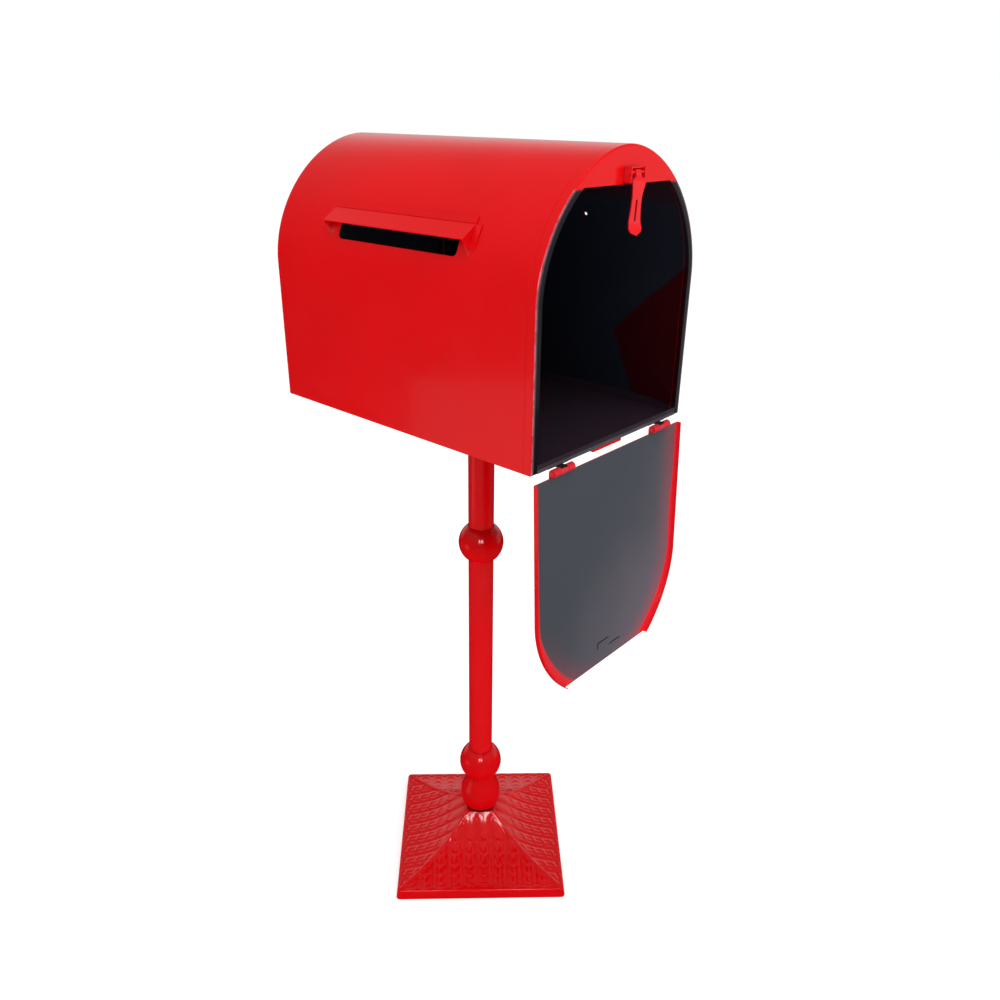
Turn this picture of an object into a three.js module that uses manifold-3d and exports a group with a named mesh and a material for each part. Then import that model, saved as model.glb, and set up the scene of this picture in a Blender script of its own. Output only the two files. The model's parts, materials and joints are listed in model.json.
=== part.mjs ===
// Free-standing mailbox: an arched sheet-steel letter box with a drop-down door,
// a hooded letter slot and a hasp, on a turned post with two ball collars and a
// square cast foot. Millimetres, +Z up. The post stands on the Z axis, the foot
// rests on Z = 0 and the door faces -Y.

import * as THREE from 'three';
import { mergeVertices } from 'three/addons/utils/BufferGeometryUtils.js';
import Module from 'manifold-3d';

// ---------------------------------------------------------------- box sizes
const BOX_WIDTH = 360;
const BOX_DEPTH = 526;
const BOX_HEIGHT = 396;
const ARCH_RISE = 181;          // height of the arch over the straight side walls
const WALL_RISE = BOX_HEIGHT - ARCH_RISE;
const ARCH_POWER = 1.85;        // 2 is an ellipse, less is a more pointed arch
const ARCH_STEPS = 36;
const BOX_SETBACK = 7;          // middle of the box behind the post axis
const SHEET = 1.5;
const GAP = 0.3;                // clearance between pieces that touch
const SNAP = 1 / 1024;          // grid for corner places, so that shared faces meet exactly

// ------------------------------------------------------ front frame and wrap
const FRAME_DEPTH = 14;
const FRAME_BEND = 3;
const FRONT_LIP = 12;
const ARCH_PANEL_DEPTH = 47.5;  // fixed arch panel, from its lower edge to the crown
const ARCH_PANEL_EDGE = BOX_HEIGHT - ARCH_PANEL_DEPTH;
const PANEL_LIP = 6;            // its bent-back lower lip
const REAR_BEND = 8;
const REAR_LIP = 20;
const BOTTOM_RETURN = 20;

// ------------------------------------------------------- floor and rear panel
const SILL_HEIGHT = 12;
const FLOOR_FLANGE = 15;
const REAR_PAN_DEPTH = 14;

// ------------------------------------------------------------- slot and hood
const SLOT_LENGTH = 238;
const SLOT_FORWARD = 3;         // slot and hood ahead of the middle of the box
const SLOT_LOW = WALL_RISE + 46;
const SLOT_HIGH = WALL_RISE + 76;
const SLOT_CORNER = 7;
const HOOD_LENGTH = 278;
const HOOD_BEND_HEIGHT = WALL_RISE + 88;
const HOOD_ROOT = 4;            // its plate inside the bend, before the arch cuts it
const HOOD_FLANGE_HEIGHT = 7;
const HOOD_REACH = 28;          // how far the hood plate runs out past its bend
const HOOD_DROP = 17.5;         // and how far it falls on the way
const GUSSET_FOOT = WALL_RISE + 49.5;
const GUSSET_FOOT_DEPTH = 8;
const GUSSET_FLANGE = 11;
const GUSSET_FLANGE_LOW = WALL_RISE + 57;
const GUSSET_FLANGE_DROP = 2;   // top of the end flanges below the hood's bend
const FLAG_HOLE = 5;
const FLAG_HOLE_HEIGHT = WALL_RISE + 71.5;
const FLAG_HOLE_FORWARD = 78;

// ---------------------------------------------------------------------- door
const DOOR_INSET = 3;           // door narrower than the box on each side
const DOOR_HEIGHT = ARCH_PANEL_EDGE + 0.5;
const DOOR_PAN_DEPTH = 7.6;
const DOOR_CLEARANCE = 0.8;     // closed door's flange to the front frame
const DOOR_REST_ANGLE = 2.5;    // hinge stop: the open door hangs this far forward
const SLIT_WIDTH = 2;
const SLIT_LENGTH = 29;
const SLIT_LEG = 10;
const SLIT_SPREAD = 14;
const SLIT_DROP = 4;            // middle of the two slits below the middle of the staple

// -------------------------------------------------------------------- hinges
const HINGE_SPACING = 240;
const HINGE_WIDTH = 44;
const HINGE_KNUCKLES = 3;
const KNUCKLE_RADIUS = 5.8;
const DOOR_EDGE_DROP = KNUCKLE_RADIUS + 1.2; // hinge edge below the hinge axis, hanging
const HINGE_LEAF = 1.6;
const BODY_LEAF_LENGTH = 26;
const DOOR_LEAF_LENGTH = 24;
const HINGE_PIN = 5;            // diameter
const RUNNING = 0.15;           // radial clearance of a pin in its knuckles
const PIN_HEAD = 1.5;
const SILL_TAB_WIDTH = 68;
const SILL_TAB_CENTRE = -8;
const SILL_TAB_DEPTH = 12;
const SILL_TAB_DROP = 5;

// ---------------------------------------------------------------------- hasp
const HASP_X = 2;
const HASP_PIN_HEIGHT = ARCH_PANEL_EDGE + 14.5;
const HASP_PIN_OUT = 8;         // pin axis in front of the arch panel
const HASP_PIN = 4;
const HASP_KNUCKLE_RADIUS = 3.4;
const HASP_KNUCKLE_WIDTH = 11.4;
const HASP_THICKNESS = 1.6;
const HASP_WIDTH = 28.6;
const HASP_WAIST = 20.6;
const HASP_FLARE = 29;
const HASP_LENGTH = 77;         // pin axis to tip
const HASP_SLOT_WIDTH = 4;
const HASP_SLOT_LENGTH = 26;
const HASP_SLOT_TOP = 33;       // below the pin axis
const HASP_SHOULDER = 4.8;      // its shoulder in front of the pin axis
const HASP_OVER_DOOR = 0.5;     // its slotted part clear of the closed door
// Its slotted part in front of the pin axis, and its tip.
const HASP_DIP = DOOR_CLEARANCE + DOOR_PAN_DEPTH + HASP_OVER_DOOR + HASP_THICKNESS / 2 - HASP_PIN_OUT;
const HASP_FLICK = HASP_DIP + 3.8;
// Half widths and heights of its front outline, from the knuckle to the flare.
const HASP_HALF = HASP_WIDTH / 2;
const WAIST_HALF = HASP_WAIST / 2;
const FLARE_HALF = HASP_FLARE / 2;
const HASP_OUTLINE = [
  [HASP_KNUCKLE_WIDTH / 2, HASP_KNUCKLE_RADIUS + 1], [HASP_KNUCKLE_WIDTH / 2, -5],
  [HASP_HALF, -9], [HASP_HALF - 0.4, -14], [WAIST_HALF + 1.2, -24], [WAIST_HALF, -31],
  [WAIST_HALF + 0.6, -44], [WAIST_HALF + 1.9, -54], [FLARE_HALF - 1.2, -63], [FLARE_HALF, -68],
  [FLARE_HALF - 2.5, -72.5],
];
// Distances in front of the pin axis and heights of its side profile.
const HASP_TANGENT = HASP_KNUCKLE_RADIUS - HASP_THICKNESS / 2;
const HASP_PROFILE = [
  [HASP_TANGENT, 0], [HASP_TANGENT + 0.8, -6], [HASP_SHOULDER, -13], [HASP_SHOULDER - 1.9, -30],
  [HASP_DIP, -50], [HASP_DIP, -62], [HASP_FLICK, -HASP_LENGTH],
];
const HASP_PROFILE_STEPS = 18;
const EAR_THICKNESS = 1.5;
const EAR_BELOW = 12;           // ears below the pin axis
const EAR_FRONT = 3.5;          // and in front of it
const CAP_CLEARANCE = 1.6;      // bracket's top plate over the knuckle
const CAP_FRONT = 1.5;          // and in front of the pin axis
const STAPLE_THICKNESS = 3;
const STAPLE_REACH = 17;
const STAPLE_EYE = 8;
const STAPLE_RIM = 2.5;         // material outside the eye
const STAPLE_CORNER = 4;
const STAPLE_MARGIN = 3.5;      // hasp slot longer than the staple, at each end

// ---------------------------------------------------------------------- post
const TUBE_DIAMETER = 44;
const TUBE_WALL = 2;
const SOCKET_DEPTH = 12;
const SOCKET_LIP = 1.5;
const UPPER_TUBE_LENGTH = 225;
const LOWER_TUBE_LENGTH = 439.5;
const MID_BALL = 78;
const LOW_BALL = 80;
const NECK_RADIUS = 25;
const BELL_RADIUS = 37.5;
const BELL_RIM_RADIUS = 35.5;
const BELL_HEIGHT = 76;
const BELL_RIM_EDGE = 2;        // chamfer of its rim
const BELL_WIDEST = 0.3;        // share of its height at which it is widest
const BELL_POWER = 0.9;         // less than 1 gives it a fuller shoulder
const ROUND_STEPS = 32;
const BALL_STEPS = 10;
const BELL_STEPS = 7;
const KNUCKLE_STEPS = 20;
const HOLE_STEPS = 16;

// ---------------------------------------------------------------------- foot
const BASE_SIZE = 318;
const BASE_TURN = -46.5;        // degrees, the foot stands cornerwise to the box
const RIM_HEIGHT = 19;
const APEX_HEIGHT = 88;
const APEX_HALF = 26;
const SKIRT_RISE = 22;          // straight part of the rise from rim to apex
const SKIRT_POWER = 2.8;        // sharpness of the concave part
const SKIRT_STEPS = 12;
const CASTING_WALL = 7;
const RIM_DRAFT = 2;
const HUB_RADIUS = 30;
const HUB_FOOT = 40;

// ------------------------------------------------------------------ fasteners
const ROD_DIAMETER = 12;
const ROD_CLEARANCE = 0.5;
const ROD_TAIL = 6;
const NUT_FLATS = 19;
const NUT_HEIGHT = 10;
const ROD_WASHER = 37;
const WASHER_THICKNESS = 2.5;
const FLANGE_SIZE = 110;
const FLANGE_PLATE = 5;
const FLANGE_SPIGOT = 30;
const BOLT_PITCH = 80;
const BOLT_DIAMETER = 8;
const BOLT_HEAD = 18;
const BOLT_HEAD_HEIGHT = 4.5;
const BOLT_HEAD_EDGE = 1;       // straight edge under its dome
const DOME_STEPS = 4;
const BOLT_NUT_FLATS = 13;
const BOLT_NUT_HEIGHT = 6.5;
const BOLT_WASHER = 17;
const BOLT_WASHER_THICKNESS = 1.6;
const BOLT_TAIL = 3;

// ------------------------------------------------------------- derived places
const rad = THREE.MathUtils.degToRad;
const lowBallCut = cutHeight(LOW_BALL / 2);
const midBallCut = cutHeight(MID_BALL / 2);
const collarBottom = APEX_HEIGHT + GAP;
const lowBallZ = collarBottom + BELL_HEIGHT + Math.sqrt((LOW_BALL / 2) ** 2 - NECK_RADIUS ** 2);
const lowerTubeBottom = lowBallZ + lowBallCut - SOCKET_DEPTH + GAP;
const lowerTubeTop = lowerTubeBottom + LOWER_TUBE_LENGTH;
const midBallZ = lowerTubeTop + GAP - SOCKET_DEPTH + midBallCut;
const upperTubeBottom = midBallZ + midBallCut - SOCKET_DEPTH + GAP;
const upperTubeTop = upperTubeBottom + UPPER_TUBE_LENGTH;
const flangeBottom = upperTubeTop + GAP;
const flangeTop = flangeBottom + FLANGE_PLATE;
const boxBottom = flangeTop + GAP;
const boxFront = BOX_SETBACK - BOX_DEPTH / 2;
const boxRear = boxFront + BOX_DEPTH;
const floorTop = boxBottom + SHEET;
const hingeY = boxFront - DOOR_CLEARANCE - DOOR_PAN_DEPTH + KNUCKLE_RADIUS - HINGE_LEAF - GAP;
const hingeZ = boxBottom - GAP - KNUCKLE_RADIUS;
const doorFace = KNUCKLE_RADIUS - HINGE_LEAF - GAP;
const haspY = boxFront - HASP_PIN_OUT;
const haspZ = boxBottom + HASP_PIN_HEIGHT;
// Height of the hinge axis above the closed door's hinge edge, seen from the box bottom.
const closedDoorBottom = hingeZ + DOOR_EDGE_DROP - boxBottom;

const wasm = await Module();
wasm.setup();

// ------------------------------------------------------------ solid modelling
// Half-height at which a ball is cut flat so that a tube and its lip fit on it.
function cutHeight(radius) {
  return Math.sqrt(radius ** 2 - (TUBE_DIAMETER / 2 + SOCKET_LIP) ** 2);
}

// A closed three.js geometry as a manifold solid.
function solid(geometry) {
  const bare = geometry.index ? geometry.toNonIndexed() : geometry.clone();
  bare.deleteAttribute('normal');
  bare.deleteAttribute('uv');
  const places = bare.attributes.position.array;
  places.forEach((value, i) => { places[i] = Math.round(value / SNAP) * SNAP; });
  const merged = mergeVertices(bare, SNAP / 4);
  const mesh = new wasm.Mesh({
    numProp: 3,
    vertProperties: new Float32Array(merged.attributes.position.array),
    triVerts: new Uint32Array(merged.index.array),
  });
  return new wasm.Manifold(mesh);
}

// A manifold solid as a three.js geometry.
function geometryOf(body) {
  const mesh = body.getMesh();
  const geometry = new THREE.BufferGeometry();
  geometry.setAttribute('position', new THREE.BufferAttribute(mesh.vertProperties, 3));
  geometry.setIndex(new THREE.BufferAttribute(mesh.triVerts, 1));
  geometry.computeVertexNormals();
  return geometry;
}

function joined(first, ...others) {
  return others.reduce((sum, body) => sum.add(body), first);
}

function cut(first, ...others) {
  return others.reduce((rest, body) => rest.subtract(body), first);
}

// A block from its lowest to its highest corner.
function block(x0, x1, y0, y1, z0, z1) {
  const geometry = new THREE.BoxGeometry(x1 - x0, y1 - y0, z1 - z0);
  geometry.translate((x0 + x1) / 2, (y0 + y1) / 2, (z0 + z1) / 2);
  return solid(geometry);
}

// A round bar along Z, X or Y.
function barZ(radius, z0, z1, x = 0, y = 0, steps = ROUND_STEPS) {
  const geometry = new THREE.CylinderGeometry(radius, radius, z1 - z0, steps);
  geometry.rotateX(Math.PI / 2);
  geometry.translate(x, y, (z0 + z1) / 2);
  return solid(geometry);
}

function barX(radius, x0, x1, y, z, steps = KNUCKLE_STEPS) {
  const geometry = new THREE.CylinderGeometry(radius, radius, x1 - x0, steps);
  geometry.rotateZ(Math.PI / 2);
  geometry.translate((x0 + x1) / 2, y, z);
  return solid(geometry);
}

// A turned piece around Z from a profile of [radius, height] points.
function turned(profile, steps = ROUND_STEPS) {
  const points = profile.map(([radius, height]) => new THREE.Vector2(radius, height));
  const geometry = new THREE.LatheGeometry(points, steps);
  geometry.rotateX(Math.PI / 2);
  return solid(geometry);
}

// A shape drawn in X and Z, extruded along Y from y0 to y1 with rounded ends.
function extrudedY(shape, y0, y1, bevel = 0) {
  const geometry = new THREE.ExtrudeGeometry(shape, {
    depth: y1 - y0 - 2 * bevel,
    bevelEnabled: bevel > 0,
    bevelThickness: bevel,
    bevelSize: bevel,
    bevelOffset: -bevel,
    bevelSegments: 3,
    curveSegments: 8,
  });
  geometry.rotateX(Math.PI / 2);
  geometry.translate(0, y1 - bevel, 0);
  return solid(geometry);
}

// A shape drawn in Y and Z, extruded along X from x0 to x1.
function extrudedX(shape, x0, x1) {
  const geometry = new THREE.ExtrudeGeometry(shape, {
    depth: x1 - x0,
    bevelEnabled: false,
    curveSegments: 8,
  });
  geometry.rotateX(Math.PI / 2);
  geometry.rotateZ(Math.PI / 2);
  geometry.translate(x0, 0, 0);
  return solid(geometry);
}

function polygon(points) {
  return new THREE.Shape(points.map(([x, y]) => new THREE.Vector2(x, y)));
}

// Half the width of the box section, moved in by inset, at a height above its bottom.
function archHalfWidth(height, inset = 0) {
  const half = BOX_WIDTH / 2 - inset;
  const rise = BOX_HEIGHT - WALL_RISE - inset;
  const share = Math.min(Math.max((height - WALL_RISE) / rise, 0), 1);
  return half * (1 - share ** ARCH_POWER) ** (1 / ARCH_POWER);
}

// The box section in X and Z, its wall moved in by inset, from its own bottom height.
function archShape(inset, bottom, baseZ) {
  const half = BOX_WIDTH / 2 - inset;
  const rise = BOX_HEIGHT - WALL_RISE - inset;
  const points = [[-half, baseZ + bottom], [half, baseZ + bottom]];
  for (let i = 0; i <= ARCH_STEPS; i += 1) {
    const turn = (Math.PI * i) / ARCH_STEPS;
    const across = Math.abs(Math.cos(turn)) ** (2 / ARCH_POWER);
    const up = Math.sin(turn) ** (2 / ARCH_POWER);
    const side = turn < Math.PI / 2 ? 1 : -1;
    points.push([side * half * across, baseZ + WALL_RISE + rise * up]);
  }
  return polygon(points);
}

// The arched section as a solid between two depths.
function archSolid(inset, bottom, y0, y1, bevel = 0) {
  return extrudedY(archShape(inset, bottom, boxBottom), y0, y1, bevel);
}

// ------------------------------------------------------------------ materials
function finish(color, roughness, metalness) {
  return new THREE.MeshStandardMaterial({ color, roughness, metalness });
}

const redEnamel = finish(0xdc101c, 0.22, 0.1);
const doorInside = finish(0x4a4f57, 0.45, 0.1);
const darkInside = finish(0x14161b, 0.3, 0.1);
const blackSteel = finish(0x1a1a1c, 0.5, 0.6);
const zincSteel = finish(0xa9acb0, 0.35, 0.9);

const mailbox = new THREE.Group();

function add(name, body, material, parent = mailbox) {
  const mesh = new THREE.Mesh(geometryOf(body), material);
  mesh.name = name;
  parent.add(mesh);
  return mesh;
}

// ------------------------------------------------------------------- the box
// Front frame: the rounded front edge, the lip round the opening and the arch panel.
function frontFrame() {
  const full = archSolid(0, 0, boxFront, boxRear, FRAME_BEND);
  const hollow = archSolid(SHEET, SHEET, boxFront + SHEET, boxRear - SHEET, FRAME_BEND - SHEET);
  const half = BOX_WIDTH / 2;
  const frontOnly = block(-half, half, boxFront, boxFront + FRAME_DEPTH, boxBottom, boxBottom + BOX_HEIGHT);
  const shell = full.subtract(hollow).intersect(frontOnly);
  const low = boxBottom - 1;
  const panelEdge = boxBottom + ARCH_PANEL_EDGE;
  const mouth = archSolid(FRONT_LIP, -1, boxFront - 1, boxFront + FRAME_DEPTH + 1)
    .intersect(block(-half, half, boxFront - 2, boxFront + FRAME_DEPTH + 2, low, panelEdge));
  const sideBottom = half - SHEET - GAP;
  const underSides = block(
    -sideBottom, sideBottom, boxFront + SHEET, boxFront + FRAME_DEPTH + 1, low, floorTop + GAP,
  );
  const lipHalf = archHalfWidth(ARCH_PANEL_EDGE, FRONT_LIP) - GAP;
  const lip = block(
    -lipHalf, lipHalf, boxFront + SHEET / 2, boxFront + PANEL_LIP,
    panelEdge, panelEdge + SHEET,
  );
  return cut(shell, mouth, underSides).add(lip);
}

// Wrap: the side walls and arch in one sheet, with the slot and the rounded rear edge.
function boxWrap() {
  const half = BOX_WIDTH / 2;
  const start = boxFront + FRAME_DEPTH + GAP;
  const full = archSolid(0, 0, boxFront, boxRear, REAR_BEND);
  const hollow = archSolid(SHEET, SHEET, boxFront + SHEET, boxRear - SHEET, REAR_BEND - SHEET);
  const behind = block(-half, half, start, boxRear, boxBottom, boxBottom + BOX_HEIGHT);
  const rearMouth = archSolid(REAR_LIP, REAR_LIP, boxRear - REAR_BEND, boxRear + 1);
  const inner = half - SHEET;
  const underside = block(
    -inner, inner, start - 1, boxRear - BOTTOM_RETURN, boxBottom - 1, floorTop + GAP,
  );
  const holeY = BOX_SETBACK - FLAG_HOLE_FORWARD;
  const flagHole = barX(FLAG_HOLE / 2, half / 2, half + 1, holeY, boxBottom + FLAG_HOLE_HEIGHT, HOLE_STEPS);
  return cut(full.subtract(hollow).intersect(behind), rearMouth, underside, slotCutter(), flagHole);
}

// The letter slot's rounded rectangle, running through the left side of the arch.
function slotCutter() {
  const shape = new THREE.Shape();
  const middle = BOX_SETBACK - SLOT_FORWARD;
  const y0 = middle - SLOT_LENGTH / 2;
  const y1 = middle + SLOT_LENGTH / 2;
  const z0 = boxBottom + SLOT_LOW;
  const z1 = boxBottom + SLOT_HIGH;
  const r = SLOT_CORNER;
  shape.moveTo(y0 + r, z0);
  shape.lineTo(y1 - r, z0);
  shape.absarc(y1 - r, z0 + r, r, -Math.PI / 2, 0, false);
  shape.lineTo(y1, z1 - r);
  shape.absarc(y1 - r, z1 - r, r, 0, Math.PI / 2, false);
  shape.lineTo(y0 + r, z1);
  shape.absarc(y0 + r, z1 - r, r, Math.PI / 2, Math.PI, false);
  shape.lineTo(y0, z0 + r);
  shape.absarc(y0 + r, z0 + r, r, Math.PI, 1.5 * Math.PI, false);
  return extrudedX(shape, -BOX_WIDTH / 2 - 1, -BOX_WIDTH / 4);
}

// Floor: a tray with a front sill and upturned sides, drilled for the bolts and the rod.
function floorPan() {
  const side = BOX_WIDTH / 2 - SHEET - GAP;
  const sill = BOX_WIDTH / 2 - FRONT_LIP - GAP;
  const wideStart = boxFront + FRAME_DEPTH + 2 * GAP;
  const rear = boxRear - BOTTOM_RETURN - GAP;
  const wide = block(-side, side, wideStart, rear, boxBottom, floorTop);
  const front = block(-sill, sill, boxFront, wideStart + 1, boxBottom, floorTop);
  const lip = block(-sill, sill, boxFront, boxFront + SHEET, boxBottom, boxBottom + SILL_HEIGHT);
  const flanges = [-1, 1].map((hand) => {
    const a = hand * side;
    const b = hand * (side - SHEET);
    return block(Math.min(a, b), Math.max(a, b), wideStart, rear, boxBottom, boxBottom + FLOOR_FLANGE);
  });
  const holes = boltPlaces().map(([x, y]) => (
    barZ(BOLT_DIAMETER / 2 + ROD_CLEARANCE, boxBottom - 1, floorTop + 1, x, y, HOLE_STEPS)
  ));
  const rodHole = barZ(ROD_DIAMETER / 2 + ROD_CLEARANCE, boxBottom - 1, floorTop + 1, 0, 0, HOLE_STEPS);
  return cut(joined(wide, front, lip, ...flanges), ...holes, rodHole);
}

// Rear panel: a pan with a rim that runs forward inside the wrap.
function rearPanel() {
  const inset = REAR_BEND + GAP;
  const y1 = boxRear - SHEET - GAP;
  const pan = archSolid(inset, inset, y1 - REAR_PAN_DEPTH, y1);
  const hollow = archSolid(inset + SHEET, inset + SHEET, y1 - REAR_PAN_DEPTH - 1, y1 - SHEET);
  return pan.subtract(hollow);
}

// Hood over the slot: a mounting flange, a sloping plate and two end gussets.
function slotHood() {
  const bend = boxBottom + HOOD_BEND_HEIGHT;
  const bendX = -archHalfWidth(HOOD_BEND_HEIGHT);
  const tip = [bendX - HOOD_REACH, bend - HOOD_DROP];
  const middle = BOX_SETBACK - SLOT_FORWARD;
  const y0 = middle - HOOD_LENGTH / 2;
  const y1 = middle + HOOD_LENGTH / 2;
  const slope = Math.atan2(HOOD_DROP, HOOD_REACH);
  const under = [SHEET * Math.sin(slope), -SHEET * Math.cos(slope)];
  const inside = [bendX + HOOD_ROOT, bend + HOOD_ROOT * Math.tan(slope)];
  const plate = extrudedY(polygon([
    inside, tip, [tip[0] + under[0], tip[1] + under[1]], [inside[0] + under[0], inside[1] + under[1]],
  ]), y0, y1);
  const foot = boxBottom + GUSSET_FOOT;
  const footX = -archHalfWidth(GUSSET_FOOT) - GAP;
  const root = [footX + GUSSET_FOOT_DEPTH, foot];
  const gusset = (a, b) => extrudedY(polygon([inside, tip, [footX, foot], root]), a, b);
  const skin = archSolid(-GAP - SHEET, 0, y0 - GUSSET_FLANGE, y1 + GUSSET_FLANGE);
  const keepOff = archSolid(-GAP, -1, y0 - GUSSET_FLANGE - 1, y1 + GUSSET_FLANGE + 1);
  const left = -BOX_WIDTH / 2 - SHEET - 1;
  const topFlange = block(left, -BOX_WIDTH / 4, y0, y1, bend - 1, bend + HOOD_FLANGE_HEIGHT);
  const lowFlange = boxBottom + GUSSET_FLANGE_LOW;
  const highFlange = bend - GUSSET_FLANGE_DROP;
  const frontFlange = block(left, -BOX_WIDTH / 4, y0 - GUSSET_FLANGE, y0 + SHEET, lowFlange, highFlange);
  const rearFlange = block(left, -BOX_WIDTH / 4, y1 - SHEET, y1 + GUSSET_FLANGE, lowFlange, highFlange);
  const flanges = skin.intersect(joined(topFlange, frontFlange, rearFlange));
  return joined(plate, gusset(y0, y0 + SHEET), gusset(y1 - SHEET, y1), flanges).subtract(keepOff);
}

add('front_frame', frontFrame(), redEnamel);
add('box_wrap', boxWrap(), redEnamel);
add('floor_pan', floorPan(), darkInside);
add('rear_panel', rearPanel(), redEnamel);
add('slot_hood', slotHood(), redEnamel);

const tabStart = boxFront + SHEET;
add('sill_tab', block(
  SILL_TAB_CENTRE - SILL_TAB_WIDTH / 2, SILL_TAB_CENTRE + SILL_TAB_WIDTH / 2,
  tabStart, tabStart + SILL_TAB_DEPTH,
  boxBottom - GAP - SILL_TAB_DROP, boxBottom - GAP,
), redEnamel);

// -------------------------------------------------------------------- hinges
// The span of one knuckle along X, counted from the hinge's left end.
function knuckleSpan(centre, index) {
  const width = HINGE_WIDTH / HINGE_KNUCKLES;
  const start = centre - HINGE_WIDTH / 2 + index * width;
  return [start + GAP / 2, start + width - GAP / 2];
}

// A leaf with the knuckles of one parity. reach is the leaf's far end from the pin.
function hingeLeaf(centre, parity, plate, clearOf) {
  const knuckles = [];
  const notches = [];
  for (let i = 0; i < HINGE_KNUCKLES; i += 1) {
    const [x0, x1] = knuckleSpan(centre, i);
    if (i % 2 === parity) knuckles.push(barX(KNUCKLE_RADIUS, x0, x1, 0, 0));
    else notches.push(clearOf(x0 - GAP, x1 + GAP));
  }
  const x0 = centre - HINGE_WIDTH / 2 - 1;
  const bore = barX(HINGE_PIN / 2 + RUNNING, x0, x0 + HINGE_WIDTH + 2, 0, 0);
  return cut(joined(plate, ...knuckles), bore, ...notches);
}

function bodyLeaf(centre) {
  const [half, k] = [HINGE_WIDTH / 2, KNUCKLE_RADIUS];
  const plate = block(centre - half, centre + half, 0, BODY_LEAF_LENGTH, k - HINGE_LEAF, k);
  const notch = (x0, x1) => block(x0, x1, -k, k + 1, -k, k + 1);
  return hingeLeaf(centre, 1, plate, notch);
}

function doorLeaf(centre) {
  const [half, k] = [HINGE_WIDTH / 2, KNUCKLE_RADIUS];
  const plate = block(centre - half, centre + half, k - HINGE_LEAF, k, -DOOR_LEAF_LENGTH, 0);
  const notch = (x0, x1) => block(x0, x1, -k, k + 1, -k - 1, k);
  return hingeLeaf(centre, 0, plate, notch);
}

function hingePin(centre) {
  const half = HINGE_WIDTH / 2 + GAP;
  const head = HINGE_PIN / 2 + 1;
  return joined(
    barX(HINGE_PIN / 2, centre - half - 1, centre + half + 1, 0, 0),
    barX(head, centre - half - PIN_HEAD, centre - half, 0, 0),
    barX(head, centre + half, centre + half + PIN_HEAD, 0, 0),
  );
}

const hingeFrame = new THREE.Group();
hingeFrame.position.set(0, hingeY, hingeZ);
mailbox.add(hingeFrame);

// The door and its leaves hang from the hinge axis, turned forward by the rest angle.
const doorFrame = new THREE.Group();
doorFrame.rotation.x = -rad(DOOR_REST_ANGLE);
hingeFrame.add(doorFrame);

[['left', -HINGE_SPACING / 2], ['right', HINGE_SPACING / 2]].forEach(([side, x]) => {
  add(`hinge_body_leaf_${side}`, bodyLeaf(x), blackSteel, hingeFrame);
  add(`hinge_pin_${side}`, hingePin(x), blackSteel, hingeFrame);
  add(`hinge_door_leaf_${side}`, doorLeaf(x), redEnamel, doorFrame);
});

// ---------------------------------------------------------------------- door
// The door is drawn hanging: its outline is the box section turned upside down.
function doorPanel() {
  const top = -DOOR_EDGE_DROP;
  const outline = (inset) => {
    const shape = archShape(inset, closedDoorBottom, 0);
    const points = shape.getPoints().map((p) => [p.x, top + closedDoorBottom - p.y]);
    return polygon(points.reverse());
  };
  const face = doorFace;
  const lip = doorFace - DOOR_PAN_DEPTH;
  const half = BOX_WIDTH / 2;
  const keep = block(-half, half, lip - 1, face + 1, top - DOOR_HEIGHT, top);
  const full = extrudedY(outline(DOOR_INSET), lip, face).intersect(keep);
  const longer = archShape(DOOR_INSET + SHEET, -half, 0).getPoints()
    .map((p) => [p.x, top + closedDoorBottom - p.y]);
  const pocket = extrudedY(polygon(longer.reverse()), lip - 1, face - SHEET);
  return cut(full, pocket, ...stapleSlits());
}

// Two offset slits, the left one with a short leg, through which the staple is fixed.
function stapleSlits() {
  const z = stapleMiddle() - SLIT_DROP + SLIT_SPREAD / 2;
  const y0 = doorFace - SHEET - 1;
  const y1 = doorFace + 1;
  const x = HASP_X + SLIT_WIDTH;
  const upper = block(x - SLIT_LENGTH, x, y0, y1, z, z + SLIT_WIDTH);
  const leg = block(x - SLIT_LENGTH, x - SLIT_LENGTH + SLIT_WIDTH, y0, y1, z - SLIT_LEG, z + 1);
  const low = z - SLIT_SPREAD;
  const lower = block(x + SLIT_WIDTH, x + SLIT_WIDTH + SLIT_LENGTH, y0, y1, low, low + SLIT_WIDTH);
  return [upper, leg, lower];
}

// The staple's middle, below the hinge axis of the hanging door, opposite the hasp slot.
function stapleMiddle() {
  const slotMiddle = haspZ - HASP_SLOT_TOP - HASP_SLOT_LENGTH / 2;
  return -(slotMiddle - hingeZ);
}

// Staple: a fin that stands on the door's outer face, with an eye for a padlock.
function doorStaple() {
  const middle = stapleMiddle();
  const half = HASP_SLOT_LENGTH / 2 - STAPLE_MARGIN;
  const foot = doorFace + GAP;
  const end = foot + STAPLE_REACH;
  const r = STAPLE_CORNER;
  const shape = new THREE.Shape();
  shape.moveTo(foot, middle - half);
  shape.lineTo(end - r, middle - half);
  shape.absarc(end - r, middle - half + r, r, -Math.PI / 2, 0, false);
  shape.lineTo(end, middle + half - r);
  shape.absarc(end - r, middle + half - r, r, 0, Math.PI / 2, false);
  shape.lineTo(foot, middle + half);
  const fin = extrudedX(shape, HASP_X - STAPLE_THICKNESS / 2, HASP_X + STAPLE_THICKNESS / 2);
  const eyeY = end - STAPLE_EYE / 2 - STAPLE_RIM;
  return cut(fin, barX(STAPLE_EYE / 2, HASP_X - STAPLE_THICKNESS, HASP_X + STAPLE_THICKNESS, eyeY, middle));
}

add('door_panel', doorPanel(), doorInside, doorFrame);
add('door_staple', doorStaple(), redEnamel, doorFrame);

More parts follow.
